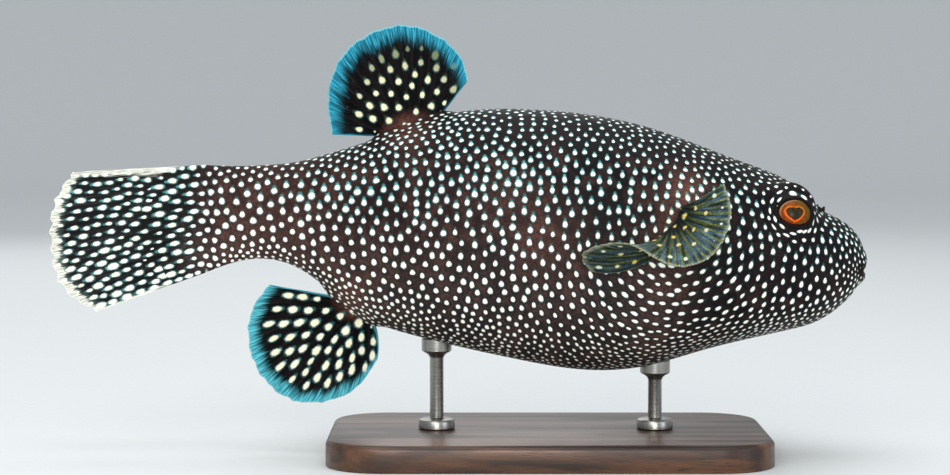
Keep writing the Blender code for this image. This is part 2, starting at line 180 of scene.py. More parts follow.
class Spline:
    """A smooth curve through rows of numbers, spaced by the distance from row to row."""

    def __init__(self, rows: tuple) -> None:
        """Fits the curve through the rows."""
        self.rows = np.array(rows, float)
        steps = np.linalg.norm(np.diff(self.rows, axis=0), axis=1)
        self.knots = np.concatenate([[0.0], np.cumsum(steps)]) / steps.sum()
        span = np.diff(self.knots)
        slope = np.diff(self.rows, axis=0) / span[:, None]
        count = len(self.rows)
        left, right = np.eye(count), np.zeros_like(self.rows)
        for i in range(1, count - 1):
            left[i, i - 1:i + 2] = span[i - 1], 2 * (span[i - 1] + span[i]), span[i]
            right[i] = 6 * (slope[i] - slope[i - 1])
        self.bend = np.linalg.solve(left, right)

    def at(self, t: Array) -> Array:
        """The curve's rows at shares of its length.

        Args:
            t: shares from 0 to 1.

        Returns:
            One row for each share, in a last axis added to the shares' own.
        """
        t = np.asarray(t, float)
        i = np.clip(np.searchsorted(self.knots, t) - 1, 0, len(self.knots) - 2)
        span = self.knots[i + 1] - self.knots[i]
        a = ((self.knots[i + 1] - t) / span)[..., None]
        b = ((t - self.knots[i]) / span)[..., None]
        curve = (a**3 - a) * self.bend[i] + (b**3 - b) * self.bend[i + 1]
        return a * self.rows[i] + b * self.rows[i + 1] + curve * span[..., None] ** 2 / 6


@dataclass
class BodyForm:
    """The fish's own shape: its stations, snout, eyes' orbits and the flesh at its fins."""

    # Place along the body, back, belly, half width and level of the greatest width.
    stations: tuple = (
        (-117.8, 111.3, 61.0, 3.6, 88.0), (-103.9, 110.8, 66.0, 6.6, 88.8),
        (-89.9, 111.2, 67.6, 9.8, 89.5), (-75.9, 112.6, 64.0, 13.5, 88.8),
        (-59.6, 116.8, 52.5, 18.4, 85.5), (-41.0, 122.6, 39.0, 25.2, 81.0),
        (-22.4, 129.5, 32.4, 31.8, 78.0), (0.9, 136.0, 26.6, 38.6, 75.8),
        (28.9, 137.3, 20.6, 44.2, 73.0), (56.8, 135.2, 16.2, 48.0, 70.6),
        (84.8, 129.8, 17.4, 49.4, 68.8), (112.7, 120.2, 25.0, 47.4, 67.8),
        (136.0, 111.4, 30.8, 42.6, 66.8), (154.6, 103.0, 34.9, 36.6, 66.0),
        (168.6, 90.8, 39.6, 29.6, 65.2), (178.6, 85.4, 46.8, 22.4, 64.8),
        (185.4, 79.2, 54.2, 15.0, 64.6), (188.1, 74.6, 58.2, 9.8, 64.4),
        (188.8, 71.6, 60.0, 7.4, 64.2),
    )
    back_fullness: float = 2.25  # superellipse powers above and below the widest level
    belly_fullness: float = 2.15
    snout_start: float = 178.6
    snout_back: float = 10.0
    mouth_level: float = 62.9
    mouth_half_width: float = 12.0
    mouth_half_height: float = 1.9
    lip_crest: float = 0.80  # share of the way from the last upright section to the mouth
    lip_groove: float = 0.50
    lip_rise: float = 0.75
    lip_sink: float = 0.45
    lip_spread: float = 0.13
    # Depth, half width and half height of the rings behind the lips.
    recess: tuple = ((0.5, 11.8, 1.7), (1.6, 11.2, 1.7), (4.0, 10.4, 3.0), (9.0, 9.0, 3.0))
    eye_centre: tuple = (151.2, 25.0, 88.7)
    eye_radius: float = 9.7
    eye_tilt_up: float = math.radians(16.0)
    eye_turn_ahead: float = math.radians(13.0)
    orbit_radius: float = 12.1
    lid_radius: float = 10.6
    brow_rise: float = 4.0
    orbit_blend: float = 5.0
    lid_facing: float = 0.62
    aperture: tuple = (7.6, 5.7)  # half length and half height of the opening in the lids
    lid_rim: float = 0.35  # the lids' thickened edge
    ball_sink: float = 1.1  # how far the skin dips under the ball within the opening
    # Where the lids, the orbit and the dip under the ball end, and over what they fade: in
    # lid rings, but for the orbit's, which is in millimetres from the ball's middle.
    lids_end: tuple = (1.9, 0.85)
    orbit_end: tuple = (24.0, 6.0)
    ball_end: tuple = (1.03, 0.09)
    rim_at: tuple = (1.09, 0.05)  # the lid ring of the thickened edge, and its half width
    swell_reach: float = 26.0  # past this from the ball's middle nothing moves
    # Fleshy ridges that carry the dorsal and anal fins: place along the body, half length.
    dorsal_ridge: tuple = (-21.0, 17.0)
    anal_ridge: tuple = (-49.0, 12.0)
    ridge_height: float = 2.6
    ridge_width: float = 5.0
    pectoral_base: tuple = (97.5, 46.5, 85.0)
    pectoral_mound: tuple = (3.2, 10.0, 13.0)  # height, half length and half height
    gill_slit: tuple = (108.0, 84.5, 12.0, 1.7)  # place, level, half height and depth

    def __post_init__(self) -> None:
        """Fits the curve through the stations."""
        self.curve = Spline(self.stations)
        self.steps = np.linspace(0.0, 1.0, 4001)
        self.places = self.curve.at(self.steps)[:, 0]

    def station_at(self, x: Array) -> Array:
        """The curve's shares where it passes places along the body."""
        return np.interp(x, self.places, self.steps)

    def belly_at(self, x: float) -> float:
        """The belly's height over the table at a place along the body."""
        return float(self.curve.at(self.station_at(x))[2]) + LIFT

    def section(self, upper: Array, back: Array, belly: Array, level: Array) -> tuple:
        """The power and reach of a section's upper half, or of its lower one."""
        full = np.where(upper, self.back_fullness, self.belly_fullness)
        return full, np.where(upper, back - level, level - belly)

    def rings(self, t: Array, around: Array) -> Array:
        """Upright rings of the plain body.

        Args:
            t: shares of the body's curve, one for each ring.
            around: angles from the left side over the back.

        Returns:
            Points, by ring and angle.
        """
        x, *levels, half, level = (v[:, None] for v in self.curve.at(t).T)
        cosine, sine = np.cos(around)[None], np.sin(around)[None]
        full, reach = self.section(sine > 0, *levels, level)
        y = half * signed_power(cosine, 2 / full)
        z = level + reach * signed_power(sine, 2 / full)
        return np.stack([x + 0 * y, y, z], axis=-1)

    def snout_front(self, y: Array, z: Array) -> Array:
        """How far forward the snout lies at points of the front view.

        Args:
            y: distances to the left.
            z: heights.

        Returns:
            Places along the body.
        """
        low = np.full(y.shape, self.station_at(self.snout_start - self.snout_back))
        high = np.ones(y.shape)
        for _ in range(26):
            middle = (low + high) / 2
            _, *levels, half, level = np.moveaxis(self.curve.at(middle), -1, 0)
            power, reach = self.section(z > level, *levels, level)
            inside = (np.abs(y) / half) ** power + (np.abs(z - level) / reach) ** power < 1
            low, high = np.where(inside, middle, low), np.where(inside, high, middle)
        return self.curve.at(low)[..., 0]

    def snout(self, shares: Array, around: Array) -> Array:
        """Rings over the snout and lips to the mouth's edge.

        Args:
            shares: shares of the way from the last upright section to the mouth's edge.
            around: angles from the left side over the back.

        Returns:
            Points, by ring and angle.
        """
        _, *levels, half, level = self.curve.at(self.station_at(self.snout_start))
        cosine, sine, share = np.cos(around)[None], np.sin(around)[None], shares[:, None]
        full, reach = self.section(sine > 0, *levels, level)
        power = 2 / blend(full, 2.0, share)
        high = blend(reach, self.mouth_half_height, share)
        y = blend(half, self.mouth_half_width, share) * signed_power(cosine, power)
        z = blend(level, self.mouth_level, share) + high * signed_power(sine, power)
        lip = self.lip_rise * bell(share - self.lip_crest, self.lip_spread)
        lip = lip - self.lip_sink * bell(share - self.lip_groove, self.lip_spread)
        return np.stack([self.snout_front(y, z) + lip, y, z], axis=-1)

    def mouth(self, edge: Array, around: Array) -> Array:
        """Rings from the mouth's edge back behind the lips.

        Args:
            edge: the ring at the mouth's edge.
            around: angles from the left side over the back.

        Returns:
            Points, by ring and angle.
        """
        rings = []
        for depth, half_width, half_height in self.recess:
            y, z = half_width * np.cos(around), self.mouth_level + half_height * np.sin(around)
            rings.append(np.stack([edge[:, 0] - depth, y, z], axis=-1))
        return np.array(rings)

    def gaze(self) -> Array:
        """The way the left eye looks."""
        flat = math.cos(self.eye_tilt_up)
        ahead, out = math.sin(self.eye_turn_ahead), math.cos(self.eye_turn_ahead)
        return np.array([ahead * flat, out * flat, math.sin(self.eye_tilt_up)])

    def eye_axes(self) -> Array:
        """The left eye's own axes in rows: ahead, up and out along its gaze."""
        gaze = self.gaze()
        ahead = unit(AHEAD - gaze * (AHEAD @ gaze))
        return np.array([ahead, np.cross(ahead, gaze), gaze])

    def eye_places(self, points: Array) -> Array:
        """How far ahead, up and out of the nearer eye's centre points lie, along its gaze."""
        away = mirror_right(points) - np.array(self.eye_centre)
        return away @ self.eye_axes().T

    def lid_ring(self, points: Array) -> Array:
        """How far out points are from an eye's gaze, with 1 at the edge of its lids."""
        ahead, up, out = np.moveaxis(self.eye_places(points), -1, 0)
        aside = np.maximum(np.hypot(ahead, up), 1e-9)
        angle = np.arctan2(aside, out)
        wide, tall = (math.asin(half / self.eye_radius) for half in self.aperture)
        return np.hypot(angle * ahead / aside / wide, angle * up / aside / tall)

    def swell_eyes(self, points: Array) -> Array:
        """Pushes points out to the brow and lids round each eye, and in under its ball.

        Args:
            points: points of the plain body.

        Returns:
            The moved points.
        """
        away = mirror_right(points) - np.array(self.eye_centre)
        length = np.linalg.norm(away, axis=-1)
        direction = away / np.maximum(length, 1e-6)[..., None]
        orbit = self.orbit_radius + self.brow_rise * np.maximum(direction[..., 2], 0.0)
        lids = smooth_step(direction @ self.gaze() / self.lid_facing)
        target = blend(orbit, self.lid_radius, lids)
        overlap = np.maximum(self.orbit_blend - np.abs(length - target), 0) / self.orbit_blend
        reach = np.maximum(length, target) + overlap**2 * self.orbit_blend / 4
        ring = self.lid_ring(points)
        rim = self.eye_radius + self.lid_rim * 2
        near = fades(ring, *self.lids_end) * fades(length, *self.orbit_end)
        reach = blend(reach, np.minimum(reach, rim + 0.5), near)
        reach = reach + self.lid_rim * bell(ring - self.rim_at[0], self.rim_at[1])
        reach = blend(reach, self.eye_radius - self.ball_sink, fades(ring, *self.ball_end))
        moved = np.array(self.eye_centre) + direction * reach[..., None]
        moved[..., 1] *= np.where(points[..., 1] < 0, -1.0, 1.0)
        return np.where((length < self.swell_reach)[..., None], moved, points)

    def raise_flesh(self, points: Array, normals: Array) -> Array:
        """Raises ridges and mounds of flesh at the fins, and opens the gill slits.

        Args:
            points: points of the skin.
            normals: the skin's outward directions there.

        Returns:
            The moved points.
        """
        x, y, z = np.moveaxis(points, -1, 0)
        rise = np.zeros(x.shape)
        for (middle, half), upper in ((self.dorsal_ridge, True), (self.anal_ridge, False)):
            along = fades(np.abs(x - middle), half + 5, 10)
            facing = smooth_step(normals[..., 2] * (1 if upper else -1) * 2)
            rise += self.ridge_height * along * bell(y, self.ridge_width) * facing
        px, _, pz = self.pectoral_base
        height, long, tall = self.pectoral_mound
        # The mound leans as the fin's base does, and the slit bows round it with a raised lip.
        lean = (x - px) - 0.35 * (z - pz)
        mound = bell(np.hypot(lean / long, (z - pz) / tall), 1.0)
        sx, sz, tall, deep = self.gill_slit
        across = (x - sx) - 0.3 * (z - sz) + 0.018 * (z - sz) ** 2
        within = fades(np.abs(z - sz), tall, 4)
        slit = within * (0.9 * bell(across - 2.4, 2.2) - deep * bell(across, 1.15))
        flank = grows(np.abs(y), 20, 10)
        rise += flank * (height * mound + slit)
        return points + normals * rise[..., None]


class FinKind(Enum):
    """The fins, by the names of the nodes that they replace."""

    DORSAL = "dorsal_fin"
    ANAL = "anal_fin"
    PECTORAL_LEFT = "pectoral_fin_left"
    PECTORAL_RIGHT = "pectoral_fin_right"


@dataclass
class FinForm:
    """A fan of rays from a root line to a margin."""

    root: tuple  # the root line's ends, at the first ray and at the last
    margin: tuple  # points of the margin from the first ray to the last
    rays: int  # in the living fin
    root_thick: float
    bow_first: tuple = (0.0, 0.0, 0.0)  # how the first and last rays bow out of straight
    bow_last: tuple = (0.0, 0.0, 0.0)
    margin_thick: float = 0.9
    ray_ridge: float = 0.5
    taper: float = 2.2
    wave: float = 1.6  # ripple from side to side, and its number of half waves
    waves: int = 5
    scallop: float = 0.010  # share of its length by which the margin dips between rays
    fringe: float = 0.012

    def __post_init__(self) -> None:
        """Fits the curve of the margin."""
        self.edge = Spline(self.margin)

    def mirrored(self) -> "FinForm":
        """The same fin on the other side of the body."""
        names = ("root", "margin", "bow_first", "bow_last")
        return replace(self, **{n: np.array(getattr(self, n)) * (1, -1, 1) for n in names})

    def middle(self, share: Array, out: Array) -> Array:
        """Points of the fin's middle sheet.

        Args:
            share: shares of the way from the first ray to the last.
            out: shares of the way from root to margin.

        Returns:
            Points, in a last axis of three.
        """
        first, last = (np.array(end) for end in self.root)
        share3, out3 = share[..., None], out[..., None]
        base = first + (last - first) * share3
        tip = self.edge.at(share)
        bow = np.array(self.bow_first)
        bow = bow + (np.array(self.bow_last) - bow) * share3**3
        knee = (base + tip) / 2 + bow
        return base * (1 - out3) ** 2 + knee * 2 * out3 * (1 - out3) + tip * out3**2

    def facing(self, share: Array, out: Array) -> Array:
        """The middle sheet's direction to the first side at shares of the fin."""
        step = 0.01
        along = self.middle(np.minimum(share + step, 1), out)
        along = along - self.middle(np.maximum(share - step, 0), out)
        outward = self.middle(share, np.minimum(out + step, 1))
        outward = outward - self.middle(share, np.maximum(out - step, 0))
        return unit(np.cross(along, outward))

    def trimmed(self, share: Array, out: Array) -> Array:
        """Shares of the way out, cut back where the margin dips between rays and fringes."""
        turn = 2 * math.pi * (self.rays - 1) * share
        dip = self.scallop * (0.5 - 0.5 * np.cos(turn))
        fray = np.sin(turn * 2.0 + 1.3) * np.sin(turn * 0.37 + 0.6) * 0.5 + 0.5
        return out * (1 - (dip + self.fringe * fray) * out**3)

    def ripple(self, share: Array, out: Array) -> Array:
        """How far the fin's waves push it to the first side."""
        return self.wave * np.sin(self.waves * math.pi * share) * out**2

    def half_thickness(self, share: Array, out: Array) -> Array:
        """Half the fin's thickness, with a ridge on each ray and its branches."""
        thick = self.margin_thick + (self.root_thick - self.margin_thick) * (1 - out) ** self.taper
        turn = 2 * math.pi * (self.rays - 1) * share
        single = (0.5 + 0.5 * np.cos(turn)) ** 2
        forked = (0.5 + 0.5 * np.cos(2 * turn)) ** 2
        ridge = blend(single, 0.7 * forked, grows(out, 0.45, 0.25))
        ridge = self.ray_ridge * (ridge - 0.5) * smooth_step(out / 0.15)
        rounding = np.sqrt(np.clip(np.sin(math.pi * share), 0, 1))
        edge = smooth_step(share / 0.02) * fades(share, 1, 0.02)
        closing = np.sqrt(np.clip((1 - out) / 0.012, 0, 1))
        return (thick / 2 * (0.25 + 0.75 * rounding) + ridge / 2 * edge) * edge**0.5 * closing

    def surface(self, share: Array, out: Array, side: Array) -> Array:
        """Points of the fin's surface.

        Args:
            share: shares of the way from the first ray to the last.
            out: shares of the way from root to margin.
            side: 1 for the first side and -1 for the other.

        Returns:
            Points, in a last axis of three.
        """
        cut = self.trimmed(share, out)
        facing = self.facing(share, cut)
        offset = self.ripple(share, cut) + side * self.half_thickness(share, out)
        return self.middle(share, cut) + facing * offset[..., None]

    def margins(self, share: Array, out: Array) -> Array:
        """How far in from the margin, from the first ray and from the last ray points lie."""
        place = self.middle(share, out)
        ends = (self.edge.at(share), *(self.middle(share * 0 + e, out) for e in (0.0, 1.0)))
        return np.stack([np.linalg.norm(place - end, axis=-1) for end in ends], -1)


def loft(rings: Array, form: Array) -> BMesh:
    """A tube through closed rings of points, unwrapped ring by ring.

    Args:
        rings: points in millimetres, by ring and step around.
        form: three numbers to keep at each point, in an attribute named form.

    Returns:
        The tube's bmesh, open at its ends.
    """
    count, around = rings.shape[:2]
    bm = bmesh.new()
    bm.loops.layers.uv.new("OFBake")
    ops.create_grid(bm, x_segments=count - 1, y_segments=around, size=0.5, calc_uvs=True)
    layer = bm.verts.layers.float_vector.new("form")
    places, forms = rings.tolist(), form.tolist()
    for vert in bm.verts:
        ring = round((vert.co.x + 0.5) * (count - 1))
        step = round((vert.co.y + 0.5) * around) % around
        vert.co = places[ring][step]
        vert[layer] = forms[ring][step]
    ops.remove_doubles(bm, verts=bm.verts, dist=1e-4)
    return bm


def coordinates(bm: BMesh) -> tuple[Array, Array]:
    """The places and outward directions of a bmesh's vertices."""
    bm.normal_update()
    places = np.array([v.co for v in bm.verts])
    return places, np.array([v.normal for v in bm.verts])


def move_to(bm: BMesh, places: Array) -> None:
    """Moves a bmesh's vertices to new places."""
    for vert, place in zip(bm.verts, places.tolist()):
        vert.co = place


def new_object(name: str, data: bpy.types.ID) -> Object:
    """A new object in the scene."""
    made = bpy.data.objects.new(name, data)
    bpy.context.scene.collection.objects.link(made)
    return made


def finish_piece(
    bm: BMesh, name: str, lift: float = LIFT, sharp: float = 180.0
) -> Object:
    """Makes an object, in metres and at its height over the table, from a bmesh.

    Args:
        bm: the shape in millimetres.
        name: the piece's name.
        lift: how far it is raised.
        sharp: the angle in degrees past which an edge stays sharp.

    Returns:
        The object, linked to the scene.
    """
    ops.recalc_face_normals(bm, faces=bm.faces)
    ops.translate(bm, vec=(0, 0, lift), verts=bm.verts)
    ops.scale(bm, vec=(MM, MM, MM), verts=bm.verts)
    mesh = bpy.data.meshes.new(name)
    bm.to_mesh(mesh)
    bm.free()
    mesh.shade_smooth()
    if sharp < 180.0:
        mesh.set_sharp_from_angle(angle=math.radians(sharp))
    return new_object(name, mesh)


def read(mesh: Mesh | bpy.types.Attribute, what: str, key: str, width: int) -> Array:
    """One property of all of a mesh's elements, as rows of an array.

    Args:
        mesh: the mesh, or an attribute of one.
        what: the collection, such as vertices.
        key: the property.
        width: how many numbers it has, or 0 for whole numbers.

    Returns:
        The array, with one row for each element.
    """
    items = getattr(mesh, what)
    values = np.zeros(len(items) * max(width, 1), float if width else int)
    items.foreach_get(key, values)
    return values.reshape(-1, width) if width > 1 else values


def dress_piece(piece: Object, material: Material, spots: int = 0) -> Object:
    """Gives a piece its finish, reports it with its number of spots, and gives it back."""
    piece.data.materials.append(material)
    LOG.info("%s: %d faces, %d spots", piece.name, len(piece.data.polygons), spots)
    return piece


def write_vectors(mesh: Mesh, name: str, domain: str, values: Array) -> None:
    """Writes a vector attribute, with three numbers for each POINT or CORNER."""
    attribute = mesh.attributes.new(name, "FLOAT_VECTOR", domain)
    attribute.data.foreach_set("vector", values.astype(np.float32).ravel())


def places_of(mesh: Mesh) -> Array:
    """The places of a finished mesh's vertices, in the fish's own millimetres."""
    return read(mesh, "vertices", "co", 3) / MM - UP * LIFT


def form_of(mesh: Mesh) -> Array:
    """What loft keeps at each of a finished mesh's vertices."""
    return read(mesh.attributes["form"], "data", "vector", 3)


class Side(Enum):
    """The fish's two sides, by the sign of Y."""

    LEFT = 1
    RIGHT = -1


@dataclass
class SpotPlan:
    """How spots lie on a piece: how close, how large, how long, which way and how tinted.

    The methods that a plan fills in take places and the outward directions there.
    """

    rounds: int = 18
    seed: int = SEED
    area_share: float = 0.866  # a spot's own area when all lie evenly, over its spacing squared
    tries: int = 6  # places weighed for each spot at the start
    size_spread: tuple = (0.08, 0.8, 1.25)  # deviation, least and most
    stretch_spread: tuple = (0.1, 0.8, 1.3)

    def spacing(self, places: Array, normals: Array) -> Array:
        """The distance from spot to spot."""
        raise NotImplementedError

    def radius(self, places: Array, normals: Array) -> Array:
        """The mean radius of spots."""
        raise NotImplementedError

    def stretch(self, places: Array, normals: Array) -> Array:
        """How many times longer than wide spots are."""
        raise NotImplementedError

    def upward(self, places: Array, normals: Array) -> Array:
        """The direction of the spots' long axes."""
        raise NotImplementedError

    def kind(self, places: Array, normals: Array) -> Array:
        """Three numbers for each spot: the strength of the painted light at its upper end, its tint
        and its dimness.
        """
        raise NotImplementedError

    def fixed(self, places: Array, normals: Array) -> list[tuple]:
        """Spots with a place of their own: face number, radius and stretch."""
        return []

    def squeeze(self, places: Array) -> Array:
        """Places in the space where spots lie evenly, where that isn't the real one."""
        return places

    def own_share(self, places: Array) -> Array:
        """The share of spots that each side has of its own, which is half on a thin sheet."""
        return np.ones(len(places))

    def sheet_facing(self, spots: Array, facing: Array) -> Array:
        """The outward direction at spots, or on a thin sheet the direction through it."""
        return facing

    def scatter(
        self, centres: Array, spacing: Array, count: int, held: list, rng: np.random.Generator
    ) -> list[int]:
        """Picks faces for spots one by one, each where it is farthest from the others.

        Args:
            centres: the faces' middles, squeezed.
            spacing: the distance from spot to spot at each face.
            count: how many spots there are.
            held: the spots with a place of their own.
            rng: the source of random numbers.

        Returns:
            The faces' numbers, with those of the held spots first.
        """
        size = min(self.tries * count, len(centres))
        tried = rng.choice(len(centres), size=size, replace=False)
        picked = [h[0] for h in held] or [int(tried[0])]
        gaps = np.full(len(tried), 1e3)
        for number in range(count):
            if number == len(picked):
                picked.append(int(tried[(gaps / spacing[tried]).argmax()]))
            away = centres[tried] - centres[picked[number]]
            gaps = np.minimum(gaps, np.sqrt((away * away).sum(-1)))
        return picked

    def lay(self, mesh: Mesh) -> int:
        """Spreads spots evenly over a mesh and writes where each corner lies in its spot.

        Args:
            mesh: the piece's mesh, which gets the attributes spot and spot_kind.

        Returns:
            How many spots there are.
        """
        rng = np.random.default_rng(self.seed)
        centres = read(mesh, "polygons", "center", 3) / MM - UP * LIFT
        normals = read(mesh, "polygons", "normal", 3)
        areas = read(mesh, "polygons", "area", 1) / MM**2
        spacing = self.spacing(centres, normals)
        share = areas / (self.area_share * spacing**2) * self.own_share(centres)
        held = self.fixed(centres, normals)
        count = max(int(share.sum()), len(held) + 1)
        squeezed = self.squeeze(centres)
        spots = centres[self.scatter(squeezed, spacing, count, held, rng)]
        # In each round a spot moves to the middle of what lies nearest to it.
        weight = areas / spacing**4
        for _ in range(self.rounds):
            own = nearest(tree_of(self.squeeze(spots)), squeezed)
            total = np.bincount(own, weight, count)
            sums = [np.bincount(own, weight * column, count) for column in centres.T]
            moved = np.stack(sums, -1) / np.maximum(total, 1e-12)[:, None]
            keep = (total <= 0) | (np.arange(count) < len(held))
            spots = np.where(keep[:, None], spots, moved)
        own = nearest(tree_of(self.squeeze(spots)), squeezed)
        facing = [np.bincount(own, areas * column, count) for column in normals.T]
        facing = self.sheet_facing(spots, unit(np.stack(facing, -1)))
        upward = self.upward(spots, facing)
        upward = unit(upward - facing * (upward * facing).sum(-1, keepdims=True))
        across = np.cross(upward, facing)
        radius = self.radius(spots, facing) * self.varied(rng, count, self.size_spread)
        stretch = self.stretch(spots, facing) * self.varied(rng, count, self.stretch_spread)
        for number, (_, own_radius, own_stretch) in enumerate(held):
            radius[number], stretch[number] = own_radius, own_stretch
        own = own[np.repeat(np.arange(len(centres)), read(mesh, "polygons", "loop_total", 0))]
        away = places_of(mesh)[read(mesh, "loops", "vertex_index", 0)] - spots[own]
        a = (away * across[own]).sum(-1) / (radius * stretch**-0.5)[own]
        b = (away * upward[own]).sum(-1) / (radius * stretch**0.5)[own]
        write_vectors(mesh, "spot", "CORNER", np.stack([a, b, rng.random(count)[own]], -1))
        write_vectors(mesh, "spot_kind", "CORNER", self.kind(spots, facing)[own])
        return count

    def varied(self, rng: np.random.Generator, count: int, spread: tuple) -> Array:
        """Random factors round 1, from their deviation, least and most."""
        return rng.normal(1.0, spread[0], count).clip(*spread[1:])


@dataclass
class BodySpots(SpotPlan):
    """The spots of the body and tail fin: sparse on the flanks, close on back and belly."""

    form: BodyForm = field(default_factory=BodyForm)
    flank_spacing: float = 5.9
    back_spacing: float = 4.7
    belly_spacing: float = 3.6
    head_spacing: float = 5.6
    snout_spacing: float = 4.3
    tail_spacing: float = 6.7
    fan_spacing: float = 5.1
    lid_spacing: float = 4.7
    lip_spacing: float = 3.0
    lip_reach: tuple = (13.2, 3.4)  # half width and half height of the bare lips
    lips_from: float = 170.0
    sheet_from: float = -121.0
    sheet_squeeze: float = 0.68  # spots lie this much closer across the tail's rays
    share_of_spacing: float = 0.206  # a spot's mean radius for each millimetre of spacing
    # Dashes that ring the eye: the ring's half length and half height, the dashes' angles
    # with the times that each lies out from the ring, and their radius and stretch.
    dash_ring: tuple = (10.2, 8.7)
    dashes: tuple = (
        (-160, 1.0), (-141, 1.28), (-130, 0.98), (-112, 1.3), (-98, 1.15), (-80, 1.0),
        (-66, 1.06), (-51, 1.12), (-38, 1.3), (-24, 1.0), (-8, 1.25), (176, 1.2), (147, 1.19),
        (136, 0.98), (118, 1.3),
    )
    dash_size: tuple = (0.93, 2.5)
    brow_spots: tuple = ((-0.1, 9.2, 1.6, 1.15), (4.9, 7.7, 1.45, 1.2))
    # Where regions begin or end, and over what: shares of the height, or places along X.
    back_from: tuple = (0.72, 0.24)
    belly_to: tuple = (0.3, 0.24)
    stalk_to: tuple = (-40, 30)
    front_from: tuple = (20, 40)
    head_from: tuple = (95, 30)
    # Where spots lean out towards the anal and dorsal fins: place, level, way and strength.
    leans: tuple = ((-47, 52, (-0.8, 0.0, 0.6), 0.8), (-22, 129, (-0.9, 0.0, 0.45), 0.7))
    lean_reach: float = 20.0

    def squeeze(self, places: Array) -> Array:
        """Places in the space where spots lie evenly: the tail fin is shorter there."""
        beyond = np.minimum(places[:, 0] - self.sheet_from, 0) * (1 - self.sheet_squeeze)
        return places - beyond[:, None] * AHEAD

    def own_share(self, places: Array) -> Array:
        """The share of spots that each side has of its own, which is half on the tail fin."""
        return 1 - 0.5 * fades(places[:, 0], self.sheet_from, 6)

    def sheet_facing(self, spots: Array, facing: Array) -> Array:
        """The outward direction at spots, or on the tail fin the direction through it."""
        return np.where(spots[:, :1] < self.sheet_from, np.array([0.0, 1.0, 0.0]), facing)

    def upright(self, places: Array) -> tuple[Array, Array]:
        """How high places lie from belly to back, as a share, and their places along the body."""
        x = places[:, 0]
        rows = self.form.curve.at(self.form.station_at(x))
        return (places[:, 2] - rows[:, 2]) / (rows[:, 1] - rows[:, 2]), x

    def from_eye(self, places: Array) -> Array:
        """Distances from the nearer eye's gaze line, and far off it where it isn't faced."""
        local = self.form.eye_places(places)
        return np.hypot(local[:, 0], local[:, 1]) + np.where(local[:, 2] > 0, 0.0, 50.0)

    def from_lips(self, places: Array) -> Array:
        """How far places lie from the mouth's middle, with 1 at the edge of the bare lips."""
        wide, tall = self.lip_reach
        away = np.hypot(places[:, 1] / wide, (places[:, 2] - self.form.mouth_level) / tall)
        return away + 9 * (places[:, 0] < self.lips_from)

    def spacing(self, places: Array, normals: Array) -> Array:
        """The distance from spot to spot, blended from region to region."""
        high, x = self.upright(places)
        near = blend(self.flank_spacing, self.tail_spacing, fades(x, *self.stalk_to))
        near = blend(near, self.back_spacing, grows(high, *self.back_from))
        near = blend(near, self.belly_spacing, fades(high, *self.belly_to))
        near = blend(near, np.minimum(near, self.head_spacing), grows(x, *self.head_from))
        for spacing, share in (
            (self.snout_spacing, grows(x, 166, 14)), (self.fan_spacing, fades(x, -106, 14)),
            (self.lip_spacing, fades(self.from_lips(places), 2.6, 1.2)),
            (self.lid_spacing, fades(self.from_eye(places), 17, 6)),
        ):
            near = blend(near, spacing, share)
        return near

    def radius(self, places: Array, normals: Array) -> Array:
        """The mean radius of spots, with what each region adds to or takes from it."""
        high, x = self.upright(places)
        size = self.share_of_spacing * self.spacing(places, normals)
        for change, share in (
            (-0.14, grows(high, *self.back_from)), (0.14, fades(high, *self.belly_to)),
            (-0.1, grows(x, *self.front_from)), (0.03, grows(x, *self.head_from)),
            (-0.03, fades(x, *self.stalk_to)), (0.2, fades(x, -108, 14)),
        ):
            size = size * (1 + change * share)
        uneven = np.sin(places @ np.array([40.0, 242.0, 117.0]))
        size = size * (1 + uneven * (0.04 + 0.2 * fades(x, -112, 12)))
        eye = self.from_eye(places)
        size = size * (1 - 0.12 * fades(eye, 19, 6)) * grows(eye, 8.4, 1.2)
        ridge = bell(places[:, 0] - self.form.dorsal_ridge[0], 17) * (high > 0.97)
        size = size * (1 - ridge * bell(places[:, 1], 3.2))
        lips = fades(self.from_lips(places), 1.45, 0.3)
        return size * (1 - 0.98 * lips) * (1 - 0.9 * fades(x, -186, 3))

    def stretch(self, places: Array, normals: Array) -> Array:
        """How many times longer than wide spots are."""
        high, x = self.upright(places)
        ratio = 1.16 + 0.5 * self.swirl(places)
        for change, share in (
            (-0.1, grows(x, *self.head_from)), (-0.1, fades(x, -20, 30)),
            (0.16, grows(x, *self.front_from)), (-0.2, grows(high, 0.72, 0.2)),
            (0.95, fades(x, -114, 14)),
        ):
            ratio = ratio + change * share
        return ratio

    def swirl(self, places: Array) -> Array:
        """How far spots turn round the base of the pectoral fin, from 0 to 1."""
        px, _, pz = self.form.pectoral_base
        dx, dz = places[:, 0] - px, places[:, 2] - (pz - 3)
        below = fades(dz, 6, 22)
        near = bell(np.hypot(dx, np.minimum(dz + 12, 0) * 0.55), np.where(dx > 0, 58.0, 62.0))
        ahead = bell(np.hypot(dx - 14, dz), 16.0) * (dx > 0) * 0.5
        return np.clip(below * near * 1.15 + ahead, 0, 1) * (np.abs(places[:, 1]) > 4)

    def around(self, axis: Array, away: Array, up: Array) -> Array:
        """Directions round an axis at places away from it, on the side that leans up."""
        ring = unit(np.cross(axis, away))
        return ring * np.where((ring * up).sum(-1, keepdims=True) < 0, -1.0, 1.0)

